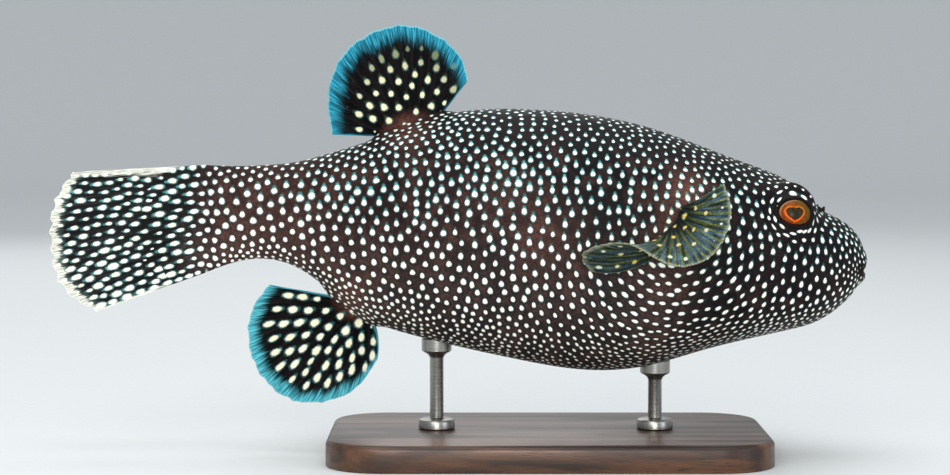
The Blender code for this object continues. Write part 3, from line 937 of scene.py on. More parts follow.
    def upward(self, places: Array, normals: Array) -> Array:
        """The direction of the spots' long axes: round the girth, fin, eye or along a ray."""
        x = places[:, 0]
        side = np.where(places[:, 1:2] < 0, np.array([1.0, -1.0, 1.0]), 1.0)
        girth = side[:, 1:2] * np.cross(AHEAD, normals)
        front = grows(x, 170, 12)[:, None]
        up = unit(girth * (1 - front) + UP * (front + 1e-3))
        px, py, pz = self.form.pectoral_base
        round_fin = self.around(normals, places - np.array([px, py, pz - 3]) * side, up)
        up = unit(blend(up, round_fin, self.swirl(places)[:, None]))
        slope = -0.06 - 0.28 * np.clip((111 - places[:, 2]) / 55, 0, 1)
        ray = unit(np.stack([0 * x - 1, 0 * x, slope], -1))
        up = unit(blend(up, ray, fades(x, -106, 16)[:, None]))
        for place, level, way, strength in self.leans:
            near = bell(np.hypot(x - place, places[:, 2] - level), self.lean_reach)[:, None]
            up = unit(up + (unit(np.array(way)) - up) * near * strength)
        away = places - np.array(self.form.eye_centre) * side
        round_eye = self.around(self.form.gaze() * side, away, up)
        return unit(blend(up, round_eye, fades(self.from_eye(places), 17.5, 5)[:, None]))

    def kind(self, places: Array, normals: Array) -> Array:
        """Three numbers for each spot: the strength of the painted light at its upper end, its tint
        and its dimness.
        """
        high, x = self.upright(places)
        # Painted bluish light at the spots' upper ends: strong high on the flanks, on the back and
        # on the tail fin, weak on the belly, the head, the stalk and round the eyes.
        tip = 0.08 + 0.92 * grows(high, 0.35, 0.4) + 0.4 * grows(high, 0.6, 0.2)
        tip = tip * (1 - 0.2 * grows(x, 100, 25))
        tip = tip * (0.15 + 0.85 * grows(self.from_eye(places), 14, 5))
        tip = tip * (1 - 0.6 * fades(x, -60, 40)) + 0.6 * fades(x, -116, 12)
        tint = 0.02 + 0.2 * fades(x, -118, 10)
        px, _, pz = self.form.pectoral_base
        tint = tint + 0.5 * bell(np.hypot(places[:, 0] - px - 2, places[:, 2] - pz - 6), 11)
        return np.stack([tip, tint, 0 * x], -1)

    def fixed(self, places: Array, normals: Array) -> list[tuple]:
        """The dashes round each eye and the large spots on each brow."""
        local = self.form.eye_places(places)
        long, tall = self.dash_ring
        ring = []
        for degrees, out in self.dashes:
            turn = math.radians(degrees)
            ring.append((out * long * math.cos(turn), out * tall * math.sin(turn), *self.dash_size))
        spots = []
        for side in Side:
            off = (side.value * places[:, 1] < 5) | (local[:, 2] < 0)
            for ahead, up, radius, stretch in (*ring, *self.brow_spots):
                gap = np.hypot(local[:, 0] - ahead, local[:, 1] - up) + off * 100
                spots.append((int(gap.argmin()), radius, stretch))
        return spots


@dataclass
class FinSpots(SpotPlan):
    """The spots of one fin, in rows along its rays and clear of its margin."""

    form: FinForm | None = None
    apart: float = 6.6
    size: float = 1.45
    long_out: tuple = (1.1, 1.5)  # stretch at the root and towards the margin
    clear: tuple = (6.0, 6.0)  # distance from the margin where spots begin: first ray, last
    clear_ends: float = 1.5
    # strength of the painted light at the spots' upper ends
    tip: float = 0.3
    tint: float = 0.6
    dim_out: float = 0.6
    placed: tuple = ()  # spots of their own: shares along and out, radius and stretch
    shares: Array | None = None  # the mesh's points as shares of the fin, once measured
    tree: KDTree | None = None

    def measure(self, mesh: Mesh) -> "FinSpots":
        """Keeps where the mesh's points lie on the fin, and gives the plan back."""
        self.shares, self.tree = form_of(mesh), tree_of(places_of(mesh))
        return self

    def shares_at(self, places: Array) -> tuple[Array, Array]:
        """The shares of the fin where places lie."""
        found = nearest(self.tree, places)
        return self.shares[found, 0], self.shares[found, 1]

    def spacing(self, places: Array, normals: Array) -> Array:
        """The distance from spot to spot."""
        return np.full(len(places), self.apart)

    def radius(self, places: Array, normals: Array) -> Array:
        """The mean radius of spots, which shrink to nothing towards the margin."""
        share, out = self.shares_at(places)
        rear, first, last = self.form.margins(share, out).T
        begun = grows(rear, blend(*self.clear, smooth_step(share / 0.45)), 2)
        ends = grows(np.minimum(first, last), self.clear_ends, 1.5)
        return self.size * begun * ends + 0.02

    def stretch(self, places: Array, normals: Array) -> Array:
        """How many times longer than wide spots are."""
        _, out = self.shares_at(places)
        return blend(*self.long_out, out)

    def upward(self, places: Array, normals: Array) -> Array:
        """The direction of the spots' long axes, out along the rays."""
        share, out = self.shares_at(places)
        step = 0.02
        outer, inner = np.minimum(out + step, 1), np.maximum(out - step, 0)
        along = unit(self.form.middle(share, outer) - self.form.middle(share, inner))
        return along * np.where(along[:, 2:] < 0, -1.0, 1.0)

    def kind(self, places: Array, normals: Array) -> Array:
        """Three numbers for each spot: the strength of the painted light at its upper end, its tint
        and its dimness.
        """
        _, out = self.shares_at(places)
        dim = self.dim_out * grows(out, 0.45, 0.4)
        return np.stack([0 * out + self.tip, 0 * out + self.tint, dim], -1)

    def fixed(self, places: Array, normals: Array) -> list[tuple]:
        """Spots with a place of their own: face number, radius and stretch."""
        share, out = self.shares_at(places)
        return [
            (int(np.hypot(share - along, out - way).argmin()), radius, stretch)
            for along, way, radius, stretch in self.placed
        ]

    def own_share(self, places: Array) -> Array:
        """The share of spots that each side has of its own: half, as both show the same."""
        return np.full(len(places), 0.5)

    def sheet_facing(self, spots: Array, facing: Array) -> Array:
        """The direction through the fin at its spots."""
        return self.form.facing(*self.shares_at(spots))


def new_material(name: str) -> tuple[Material, Wire, Node]:
    """A new material, the function that adds nodes to it, and its surface shader.

    Args:
        name: the material's name.

    Returns:
        The material, the function and the Principled shader.
    """
    material = bpy.data.materials.new(name)
    material.use_nodes = True
    tree = material.node_tree
    return material, partial(wire, tree), tree.nodes["Principled BSDF"]


@dataclass(frozen=True)
class FleshFinish:
    """Painted fish skin over a cast body: satin, finely prickled, spotted with cream."""

    name: str
    ground: str = "#0c090b"  # close round the spots
    ground_patch: str = "#34221f"  # between them, in blotches
    # painted light: a paler ground added over the lower flank and belly
    ground_lit_below: str = "#26211f"  # what the lower flank and belly have more
    flush: str = "#6f463b"  # bare reddish flesh at the fins' bases
    spot: str = "#fdfcf6"
    spot_warm: str = "#f1e2a0"
    spot_dim: str = "#6d7a4e"
    # painted bluish light at each spot's upper end and on the ground just above it
    tip: str = "#55a9a6"
    ring: str = "#62a3a6"
    web_ray: str = "#171413"  # on a fin's rays
    web_membrane: str = "#060607"  # between them
    web_membrane_2: str = "#0c0a0b"
    web_dark: str = "#0f0d0c"
    ray_line: float = 0.5  # how strongly rays show
    ray_from: float = 0.3  # cosine round a ray at which its line begins
    band: str = "#319cb7"  # the streaked margin
    band_deep: str = "#11485c"
    band_fade: str = "#0c272b"
    band_rim: str = "#86cfdb"
    band_soft: float = 0.55  # share of the margin's depth over which it fades
    band_hair: float = 0.2  # how far the margin parts into hairs
    band_broad: tuple = (-3.0, 1.0)  # ray from which it has its full depth, and its share before
    band_depth: tuple = (6.5, 0.8, 0.8)  # at the outer margin, first ray and last ray
    band_streaks: float = 0.75
    prickle: float = 0.9  # millimetres from prickle to prickle
    roughness: float = 0.52
    shine: float = 0.09

    def make(self) -> Material:
        """Builds the material, which reads the attributes that the flesh pieces carry."""
        material, add, shader = new_material(self.name)
        place = add("TexCoord", (), out="Object")
        parts = []
        for name in ("spot", "spot_kind", "fin", "margin", "shade"):
            vector = add("Attribute", (), out="Vector", attribute_name=name)
            parts.append(add("SeparateXYZ", (vector,), out=None))
        spot, kind, (web, phase, out), margin, (flush, dark, pale) = parts
        # Blotches of 25 mm and 6 mm, and a grain of 0.9 mm.
        blotch, fleck, grain = (
            add("TexNoise", {"Vector": place, "Scale": scale, "Detail": detail})
            for scale, detail in ((40.0, 3.0), (170.0, 4.0), (1100.0, 3.0))
        )
        mixed = add("Math", (blotch, fleck), operation="ADD")
        mixed = add("MapRange", (mixed, 0.86, 1.22, 0.0, 1.0), **EASED)
        radius = self.spot_radius(add, spot, place)
        clear = add("MapRange", (radius, 1.1, 2.4, 0.1, 1.0))
        # Patches fade where dark is set: on the body that is painted shade over the head and along
        # the top of body and tail, on a fin the fin's dark part.
        paler = add("MapRange", (dark, 0.0, 1.0, 1.0, 0.15))
        for share in (clear, paler):
            mixed = add("Math", (mixed, share), **TIMES)
        ground = add("Mix", {0: mixed, 6: self.ground, 7: self.ground_patch}, **COLOURS)
        # Painted light: a paler ground is added over the lower flank and belly, between the spots.
        below = add("Math", (pale, clear), **TIMES)
        lighter = {0: below, 6: ground, 7: self.ground_lit_below}
        ground = add("Mix", lighter, **COLOURS, blend_type="ADD")
        webbed = self.webbing(add, phase, out, dark, fleck)
        ground = add("Mix", {0: web, 6: ground, 7: webbed}, **COLOURS)
        rosy = add("MapRange", (fleck, *NOISE, 0.55, 1.0))
        rosy = add("Math", (rosy, flush), **TIMES)
        ground = add("Mix", {0: rosy, 6: ground, 7: self.flush}, **COLOURS)
        shown = add("MapRange", (grain, *NOISE, 0.5, 1.5))
        ground = add("Mix", {0: 1.0, 6: ground, 7: shown}, **COLOURS, blend_type="MULTIPLY")
        colour, core = self.spotted(add, ground, radius, spot, kind)
        rough = (self.roughness - 0.06, self.roughness + 0.1)
        connect(shader, {
            "Base Color": self.edged(add, colour, phase, margin, web),
            "Roughness": add("MapRange", (fleck, *NOISE, *rough)),
            "Specular IOR Level": self.shine,
            "Normal": self.relief(add, place, core, grain, web),
        })
        return material

    def spot_radius(self, add: Wire, spot: Outputs, place: NodeSocket) -> NodeSocket:
        """How far from its spot's middle a point lies, where 1 is the spot's edge.

        Args:
            add: adds a node.
            spot: how far across the spot the point lies, and how far up it.
            place: the point's place.

        Returns:
            The socket of the distance.
        """
        # A spot narrows upwards, and its edge wavers over about 1 mm.
        narrow = add("Math", (spot[1], 0.12, 1.0), **TIMES_PLUS)
        across = add("Math", (spot[0], narrow), **TIMES)
        flat = add("CombineXYZ", (across, spot[1]))
        length = add("VectorMath", (flat,), **LENGTH)
        waver = add("TexNoise", {"Vector": place, "Scale": 900.0, "Detail": 1.0})
        waver = add("MapRange", (waver, 0.25, 0.75, -0.13, 0.13))
        return add("Math", (length, waver), operation="ADD")

    def webbing(
        self, add: Wire, phase: NodeSocket, out: NodeSocket, dark: NodeSocket, fleck: NodeSocket
    ) -> NodeSocket:
        """The colour of a fin's rays and the membrane between them.

        Args:
            add: adds a node.
            phase: the number of rays from the fin's first edge.
            out: the share of the way from root to margin.
            dark: how far the fin's dark part covers the point; on the tail fin, the painted shade
                along its top.
            fleck: the fine blotches.

        Returns:
            The socket of the colour.
        """
        # Rays fork half way out, so their lines double there.
        forks = add("MapRange", (out, 0.5, 0.68, 0.0, 1.0), **EASED)
        lines = []
        for per_ray in (1.0, 2.0):
            turn = add("Math", (phase, 2 * math.pi * per_ray), **TIMES)
            line = add("Math", (turn,), operation="COSINE")
            lines.append(add("MapRange", (line, self.ray_from, 0.97, 0.0, 1.0), **EASED))
        line = add("Mix", {0: forks, 2: lines[0], 3: lines[1]})
        line = add("Math", (line, self.ray_line), **TIMES)
        cells = add("CombineXYZ", (phase, out))
        cloud = add("TexNoise", {"Vector": cells, "Scale": 2.3, "Detail": 2.0})
        cloud = add("MapRange", (cloud, 0.38, 0.62, 0.0, 1.0))
        outer = add("MapRange", (out, 0.3, 0.6, 0.2, 1.0))
        cloud = add("Math", (cloud, outer), **TIMES)
        colour = add("Mix", {0: cloud, 6: self.web_membrane, 7: self.web_membrane_2}, **COLOURS)
        colour = add("Mix", {0: line, 6: colour, 7: self.web_ray}, **COLOURS)
        # Fine folds along the rays, about seven to each, 0.7 mm apart.
        folds = add("Mapping", {"Vector": cells, "Scale": (7.0, 3.0, 1.0)})
        folds = add("TexNoise", {"Vector": folds, "Scale": 1.0, "Detail": 2.0})
        folds = add("MapRange", (folds, *NOISE, 0.45, 1.75))
        mottle = add("MapRange", (fleck, *NOISE, 0.7, 1.3))
        mottle = add("Math", (mottle, folds), **TIMES)
        colour = add("Mix", {0: 1.0, 6: colour, 7: mottle}, **COLOURS, blend_type="MULTIPLY")
        return add("Mix", {0: dark, 6: colour, 7: self.web_dark}, **COLOURS)

    def spotted(
        self, add: Wire, ground: NodeSocket, radius: NodeSocket, spot: Outputs, kind: Outputs
    ) -> tuple[NodeSocket, NodeSocket]:
        """Spots over a ground, each with a painted cast of light at its upper end, in the tip
        colour.

        Args:
            add: adds a node.
            ground: the ground's colour.
            radius: how far from the spot's middle the point lies.
            spot: how far across the spot, how far up it, and the spot's random number.
            kind: the strength of its painted light at the upper end, its tint and its dimness.

        Returns:
            The sockets of the colour and of the spot's cover.
        """
        (a, b, seed), (painted_light_share, tint, dim) = spot, kind
        core = add("MapRange", (radius, 0.74, 1.2, 1.0, 0.0), **EASED)
        # Painted light: a soft patch of the tip colour over each spot's upper end.
        raised = add("Math", (b, 0.66, -0.6), **TIMES_PLUS)
        beside = add("Math", (a, 1.05), **TIMES)
        flat = add("CombineXYZ", (beside, raised))
        away = add("VectorMath", (flat,), **LENGTH)
        tip = add("MapRange", (away, 0.0, 1.2, 0.95, 0.0), **EASED)
        patchy = add("MapRange", (seed, 0.0, 1.0, 0.55, 1.0))
        for share in (painted_light_share, patchy):
            tip = add("Math", (tip, share), **TIMES)
        colour = add("Mix", {0: tip, 6: ground, 7: self.tip}, **COLOURS)
        # A faint bluish ring lies round each spot, stronger where the painted light at the tips is.
        ring = add("MapRange", (radius, 0.95, 1.6, 0.6, 0.0), **EASED)
        share = add("Math", (painted_light_share, 0.55, 0.3), **TIMES_PLUS)
        ring = add("Math", (ring, share), **TIMES)
        colour = add("Mix", {0: ring, 6: colour, 7: self.ring}, **COLOURS)
        warm = add("Math", (seed, 0.16, tint), **TIMES_PLUS)
        inner = add("Mix", {0: warm, 6: self.spot, 7: self.spot_warm}, **COLOURS)
        # The spot's own upper half takes some of the painted light too.
        bluish = add("MapRange", (b, 0.3, 1.1, 0.0, 0.55))
        bluish = add("Math", (bluish, painted_light_share), **TIMES)
        for share, over in ((bluish, self.tip), (dim, self.spot_dim)):
            inner = add("Mix", {0: share, 6: inner, 7: over}, **COLOURS)
        return add("Mix", {0: core, 6: colour, 7: inner}, **COLOURS), core

    def edged(
        self, add: Wire, colour: NodeSocket, phase: NodeSocket, margin: Outputs, web: NodeSocket
    ) -> NodeSocket:
        """A pale streaked margin round a fin, over its colour.

        Args:
            add: adds a node.
            colour: the fin's colour.
            phase: the number of rays from the first edge.
            margin: millimetres in from the outer margin, the first ray and the last ray.
            web: 1 on a fin and 0 on the body.

        Returns:
            The socket of the colour.
        """
        # Streaks run in from the margin, about twelve to a ray, and waver over 8 mm. Hairs
        # are finer, and lobes as broad as a ray.
        rear = margin[0]
        lines = add("CombineXYZ", (phase, rear))
        noises = []
        for across, along, detail in ((12.0, 0.12, 2.0), (17.0, 0.1, 1.0), (1.1, 0.02, 1.0)):
            drawn = add("Mapping", {"Vector": lines, "Scale": (across, along, 1.0)})
            noises.append(add("TexNoise", {"Vector": drawn, "Scale": 1.0, "Detail": detail}))
        streak, fine, lobe = noises
        reach = add("MapRange", (streak, *NOISE, 0.6, 1.25))
        swell = add("MapRange", (lobe, *NOISE, 0.65, 1.3))
        start, narrow = self.band_broad
        broad = add("MapRange", (phase, start, start + 3, narrow, 1.0))
        for share in (swell, broad):
            reach = add("Math", (reach, share), **TIMES)
        covers = []
        for far, depth in zip(margin, self.band_depth):
            limit = add("Math", (reach, depth), **TIMES)
            inside = add("Math", (limit, far), operation="SUBTRACT")
            soft = self.band_soft * depth
            covers.append(add("MapRange", (inside, -soft, soft + 0.1, 0.0, 1.0), **EASED))
        cover = add("Math", covers[:2], operation="MAXIMUM")
        cover = add("Math", (cover, covers[2]), operation="MAXIMUM")
        hair = add("MapRange", (fine, 0.44, 0.58, 1 - self.band_hair, 1.0))
        depth = self.band_depth[0]
        fade = add("MapRange", (rear, depth * 0.8, depth * 1.9, 0.65, 0.0), **EASED)
        parted = add("MapRange", (streak, 0.36, 0.62, 0.1, 1.0))
        for share in (web, hair):
            cover = add("Math", (cover, share), **TIMES)
        for share in (web, parted):
            fade = add("Math", (fade, share), **TIMES)
        colour = add(
            "Mix", {0: fade, 6: colour, 7: self.band_fade}, **COLOURS, blend_type="LIGHTEN"
        )
        hairs = add("MapRange", (fine, 0.38, 0.6, 1.0 - self.band_streaks, 1.0))
        band = add("Mix", {0: hairs, 6: self.band_deep, 7: self.band}, **COLOURS)
        colour = add("Mix", {0: cover, 6: colour, 7: band}, **COLOURS)
        # The outermost half millimetre is palest.
        rim = add("MapRange", (rear, 0.25, 0.9, 0.7, 0.0))
        for share in (web, cover):
            rim = add("Math", (rim, share), **TIMES)
        return add("Mix", {0: rim, 6: colour, 7: self.band_rim}, **COLOURS)

    def relief(
        self, add: Wire, place: NodeSocket, core: NodeSocket, grain: NodeSocket, web: NodeSocket
    ) -> NodeSocket:
        """Bumps of fine prickles, spots that stand a little proud, and grain.

        Args:
            add: adds a node.
            place: the point's place.
            core: the spots' cover.
            grain: the fine grain.
            web: 1 on a fin, where prickles are faint.

        Returns:
            The socket of the surface's direction.
        """
        scale = 1000.0 / self.prickle
        cells = add("TexVoronoi", {"Vector": place, "Scale": scale}, feature="SMOOTH_F1")
        fewer = add("MapRange", (web, 0.0, 1.0, 0.5, 0.1))
        cells = add("Math", (cells, fewer), **TIMES)
        height = add("Math", (core, 0.45, grain), **TIMES_PLUS)
        height = add("Math", (height, cells), operation="SUBTRACT")
        return add("Bump", {"Height": height, "Strength": 0.5, "Distance": 0.25 * MM})


BODY_FINISH = FleshFinish(
    name="painted puffer skin over resin",
    band="#f6f5e8", band_deep="#8a9188", band_fade="#6a7d76", band_rim="#fdfcf4",
    band_depth=(4.2, 3.7, 1.4), band_soft=0.26, band_streaks=0.8,
    web_ray="#262325", web_membrane="#0b0a0c", web_membrane_2="#141113",
)
# In the finishes below, tip is the colour of the painted light at the spots' upper ends.
DORSAL_FINISH = FleshFinish(
    name="painted dorsal fin, black with a pale blue streaked edge",
    web_membrane_2="#0d0a0b", spot_warm="#d9cf8e", spot_dim="#5c6638", tip="#5f7a58",
    shine=0.03,
)
ANAL_FINISH = FleshFinish(
    name="painted anal fin, black with a pale blue streaked edge",
    web_membrane_2="#0f0c0d", spot_warm="#d6c97c", band="#5cbfcc", band_deep="#1b6b7e",
    band_depth=(5.4, 0.8, 1.6), shine=0.03,
)
PECTORAL_FINISH = FleshFinish(
    name="painted pectoral fin, olive rays on blue membrane",
    web_ray="#59642a", web_membrane="#1b2016", web_membrane_2="#3b5366", web_dark="#141a1a",
    ray_line=0.7, ray_from=-0.2, band="#9b9c80", band_deep="#39504e", band_fade="#1f2a24",
    band_rim="#a8a88e", band_depth=(2.6, 0.25, 0.3), band_soft=0.3, band_streaks=0.9,
    band_hair=0.85, band_broad=(8.0, 0.5), shine=0.06,
    spot_warm="#dcb52c", spot_dim="#d2d1bd", tip="#7d9a62",
)


@dataclass(frozen=True)
class EyeFinish:
    """A glass eye: a painted orange iris and heart-shaped pupil under a clear wet coat."""

    name: str = "glass eye with painted iris"
    pupil: str = "#1b1608"
    pupil_fleck: str = "#4a3c16"
    ring: str = "#ff5f05"
    ring_above: str = "#b8640f"
    heart_half: tuple = (3.85, 2.8)  # half width and half height of the pupil's heart
    heart_at: tuple = (-1.0, -1.35)  # ahead of and above the gaze
    iris_warm: str = "#6f2d06"
    iris_gold: str = "#4a400f"
    iris_fleck: str = "#93490a"
    rim: str = "#b78f5c"
    limbus: str = "#140d09"
    iris_half: tuple = (7.45, 5.7)

    def make(self) -> Material:
        """Builds the material, which reads the attribute gaze: ahead, up and out, in mm."""
        material, add, shader = new_material(self.name)
        gaze = add("Attribute", (), out="Vector", attribute_name="gaze")
        ahead, up, _ = add("SeparateXYZ", (gaze,), out=None)
        # The heart: x*x + (y - 0.6*sqrt(|x|))**2, which is 1 at the pupil's edge.
        (wide, tall), (heart_x, heart_y) = self.heart_half, self.heart_at
        x = add("Math", (ahead, 1 / wide, -heart_x / wide), **TIMES_PLUS)
        x = add("Math", (x,), operation="ABSOLUTE")
        y = add("Math", (up, 1 / tall, 0.14 - heart_y / tall), **TIMES_PLUS)
        root = add("Math", (x, 0.5), operation="POWER")
        lowered = add("Math", (root, -0.6, y), **TIMES_PLUS)
        flat = add("CombineXYZ", (x, lowered))
        heart = add("VectorMath", (flat,), **LENGTH)
        waver = add("TexNoise", {"Vector": gaze, "Scale": 1.3, "Detail": 3.0})
        waver = add("MapRange", (waver, 0.25, 0.75, -0.1, 0.1))
        heart = add("Math", (heart, waver), operation="ADD")
        # The iris turns from brown to gold ahead and above.
        sideways = add("Math", (ahead, 0.16, 0.35), **TIMES_PLUS)
        upwards = add("Math", (up, 0.08, sideways), **TIMES_PLUS)
        gold = add("MapRange", (upwards, 0.0, 1.0, 0.0, 1.0))
        colour = add("Mix", {0: gold, 6: self.iris_warm, 7: self.iris_gold}, **COLOURS)
        fibres = add("TexNoise", {"Vector": gaze, "Scale": 1.1, "Detail": 5.0})
        fibres = add("MapRange", (fibres, 0.45, 0.7, 0.0, 0.8))
        ring = add("MapRange", (heart, 1.13, 1.32, 1.0, 0.0), **EASED)
        bright = add("MapRange", (up, -3.0, 2.5, 0.0, 1.0))
        glow = add("Mix", {0: bright, 6: self.ring, 7: self.ring_above}, **COLOURS)
        inner = add("MapRange", (waver, -0.04, 0.1, 0.0, 0.6))
        pupil = add("Mix", {0: inner, 6: self.pupil, 7: self.pupil_fleck}, **COLOURS)
        inside = add("MapRange", (heart, 0.96, 1.08, 1.0, 0.0), **EASED)
        # A pale rim lies along its upper edge, and a dark one all round.
        iris_wide, iris_tall = self.iris_half
        scale = (1 / iris_wide, 1 / iris_tall, 0.0)
        stretched = add("VectorMath", (gaze, scale), **TIMES)
        edge = add("VectorMath", (stretched,), **LENGTH)
        rim = add("MapRange", (edge, 0.88, 0.95, 0.0, 1.0), **EASED)
        upper = add("Math", (ahead, -0.12, -0.15), **TIMES_PLUS)
        upper = add("Math", (up, 0.2, upper), **TIMES_PLUS)
        upper = add("MapRange", (upper, 0.0, 1.1, 0.0, 0.85))
        rim = add("Math", (upper, rim), **TIMES)
        dark = add("MapRange", (edge, 0.95, 1.03, 0.0, 1.0), **EASED)
        for share, over in (
            (fibres, self.iris_fleck), (ring, glow), (inside, pupil), (rim, self.rim),
            (dark, self.limbus),
        ):
            colour = add("Mix", {0: share, 6: colour, 7: over}, **COLOURS)
        connect(shader, {
            "Base Color": colour, "Roughness": 0.4, "Specular IOR Level": 0.1,
            "Coat Weight": 0.08, "Coat Roughness": 0.04,
        })
        return material


@dataclass(frozen=True)
class BeakFinish:
    """Tooth enamel: off-white, smooth, stained brownish at the gums."""

    name: str = "tooth enamel"
    enamel: str = "#ece3cc"
    stain: str = "#a08a63"
    root_at: float = 179.0 * MM
    bite_at: float = 184.5 * MM

    def make(self) -> Material:
        """Builds the material."""
        material, add, shader = new_material(self.name)
        place = add("TexCoord", (), out="Object")
        along = add("SeparateXYZ", (place,))
        root = add("MapRange", (along, self.root_at, self.bite_at, 0.9, 0.1))
        # Growth lines about 0.5 mm apart.
        lines = add("TexNoise", {"Vector": place, "Scale": 2000.0, "Detail": 2.0})
        lines = add("MapRange", (lines, *NOISE, 0.5, 1.2))
        root = add("Math", (root, lines), **TIMES)
        colour = add("Mix", {0: root, 6: self.enamel, 7: self.stain}, **COLOURS)
        connect(shader, {"Base Color": colour, "Roughness": 0.22})
        return material


@dataclass(frozen=True)
class WalnutFinish:
    """Oiled walnut: dark streaked grain along the board, with fine open pores."""

    name: str = "oiled walnut"
    light: str = "#5d3c26"
    dark: str = "#2b1a11"
    pore: str = "#160d08"

    def make(self) -> Material:
        """Builds the material."""
        material, add, shader = new_material(self.name)
        place = add("TexCoord", (), out="Object")
        # Growth bands about 7 mm apart, drawn out 12 times along the board.
        drawn = add("Mapping", {"Vector": place, "Scale": (0.09, 1.0, 1.0)})
        bands = add("TexNoise", {"Vector": drawn, "Scale": 75.0, "Detail": 4.0, "Distortion": 1.2})
        bands = add("MapRange", (bands, 0.36, 0.64, 0.0, 1.0), **EASED)
        colour = add("Mix", {0: bands, 6: self.dark, 7: self.light}, **COLOURS)
        # Pores 0.35 mm wide and some 9 mm long.
        fine = add("Mapping", {"Vector": place, "Scale": (0.04, 1.0, 1.0)})
        pores = add("TexNoise", {"Vector": fine, "Scale": 2600.0, "Detail": 1.0})
        pores = add("MapRange", (pores, 0.58, 0.7, 0.0, 0.7))
        open_pores = {"Height": pores, "Strength": 0.25, "Distance": 0.1 * MM}
        connect(shader, {
            "Base Color": add("Mix", {0: pores, 6: colour, 7: self.pore}, **COLOURS),
            "Roughness": add("MapRange", (bands, 0.0, 1.0, 0.42, 0.32)),
            "Normal": add("Bump", open_pores, invert=True),
        })
        return material


@dataclass(frozen=True)
class TurnedSteelFinish:
    """Stainless steel rod, turned and left satin, with fine rings round it."""

    name: str = "satin turned stainless steel"
    steel: str = "#a3a29d"
    shadow: str = "#7c7b77"

    def make(self) -> Material:
        """Builds the material."""
        material, add, shader = new_material(self.name)
        place = add("TexCoord", (), out="Object")
        # Tool marks 0.3 mm apart up the rod.
        rings = add("Mapping", {"Vector": place, "Scale": (0.02, 0.02, 1.0)})
        marks = add("TexNoise", {"Vector": rings, "Scale": 3300.0, "Detail": 2.0})
        connect(shader, {
            "Base Color": add("Mix", {0: marks, 6: self.shadow, 7: self.steel}, **COLOURS),
            "Roughness": add("MapRange", (marks, *NOISE, 0.24, 0.38)),
            "Metallic": 1.0,
            "Normal": add("Bump", {"Height": marks, "Strength": 0.2, "Distance": 0.05 * MM}),
        })
        return material


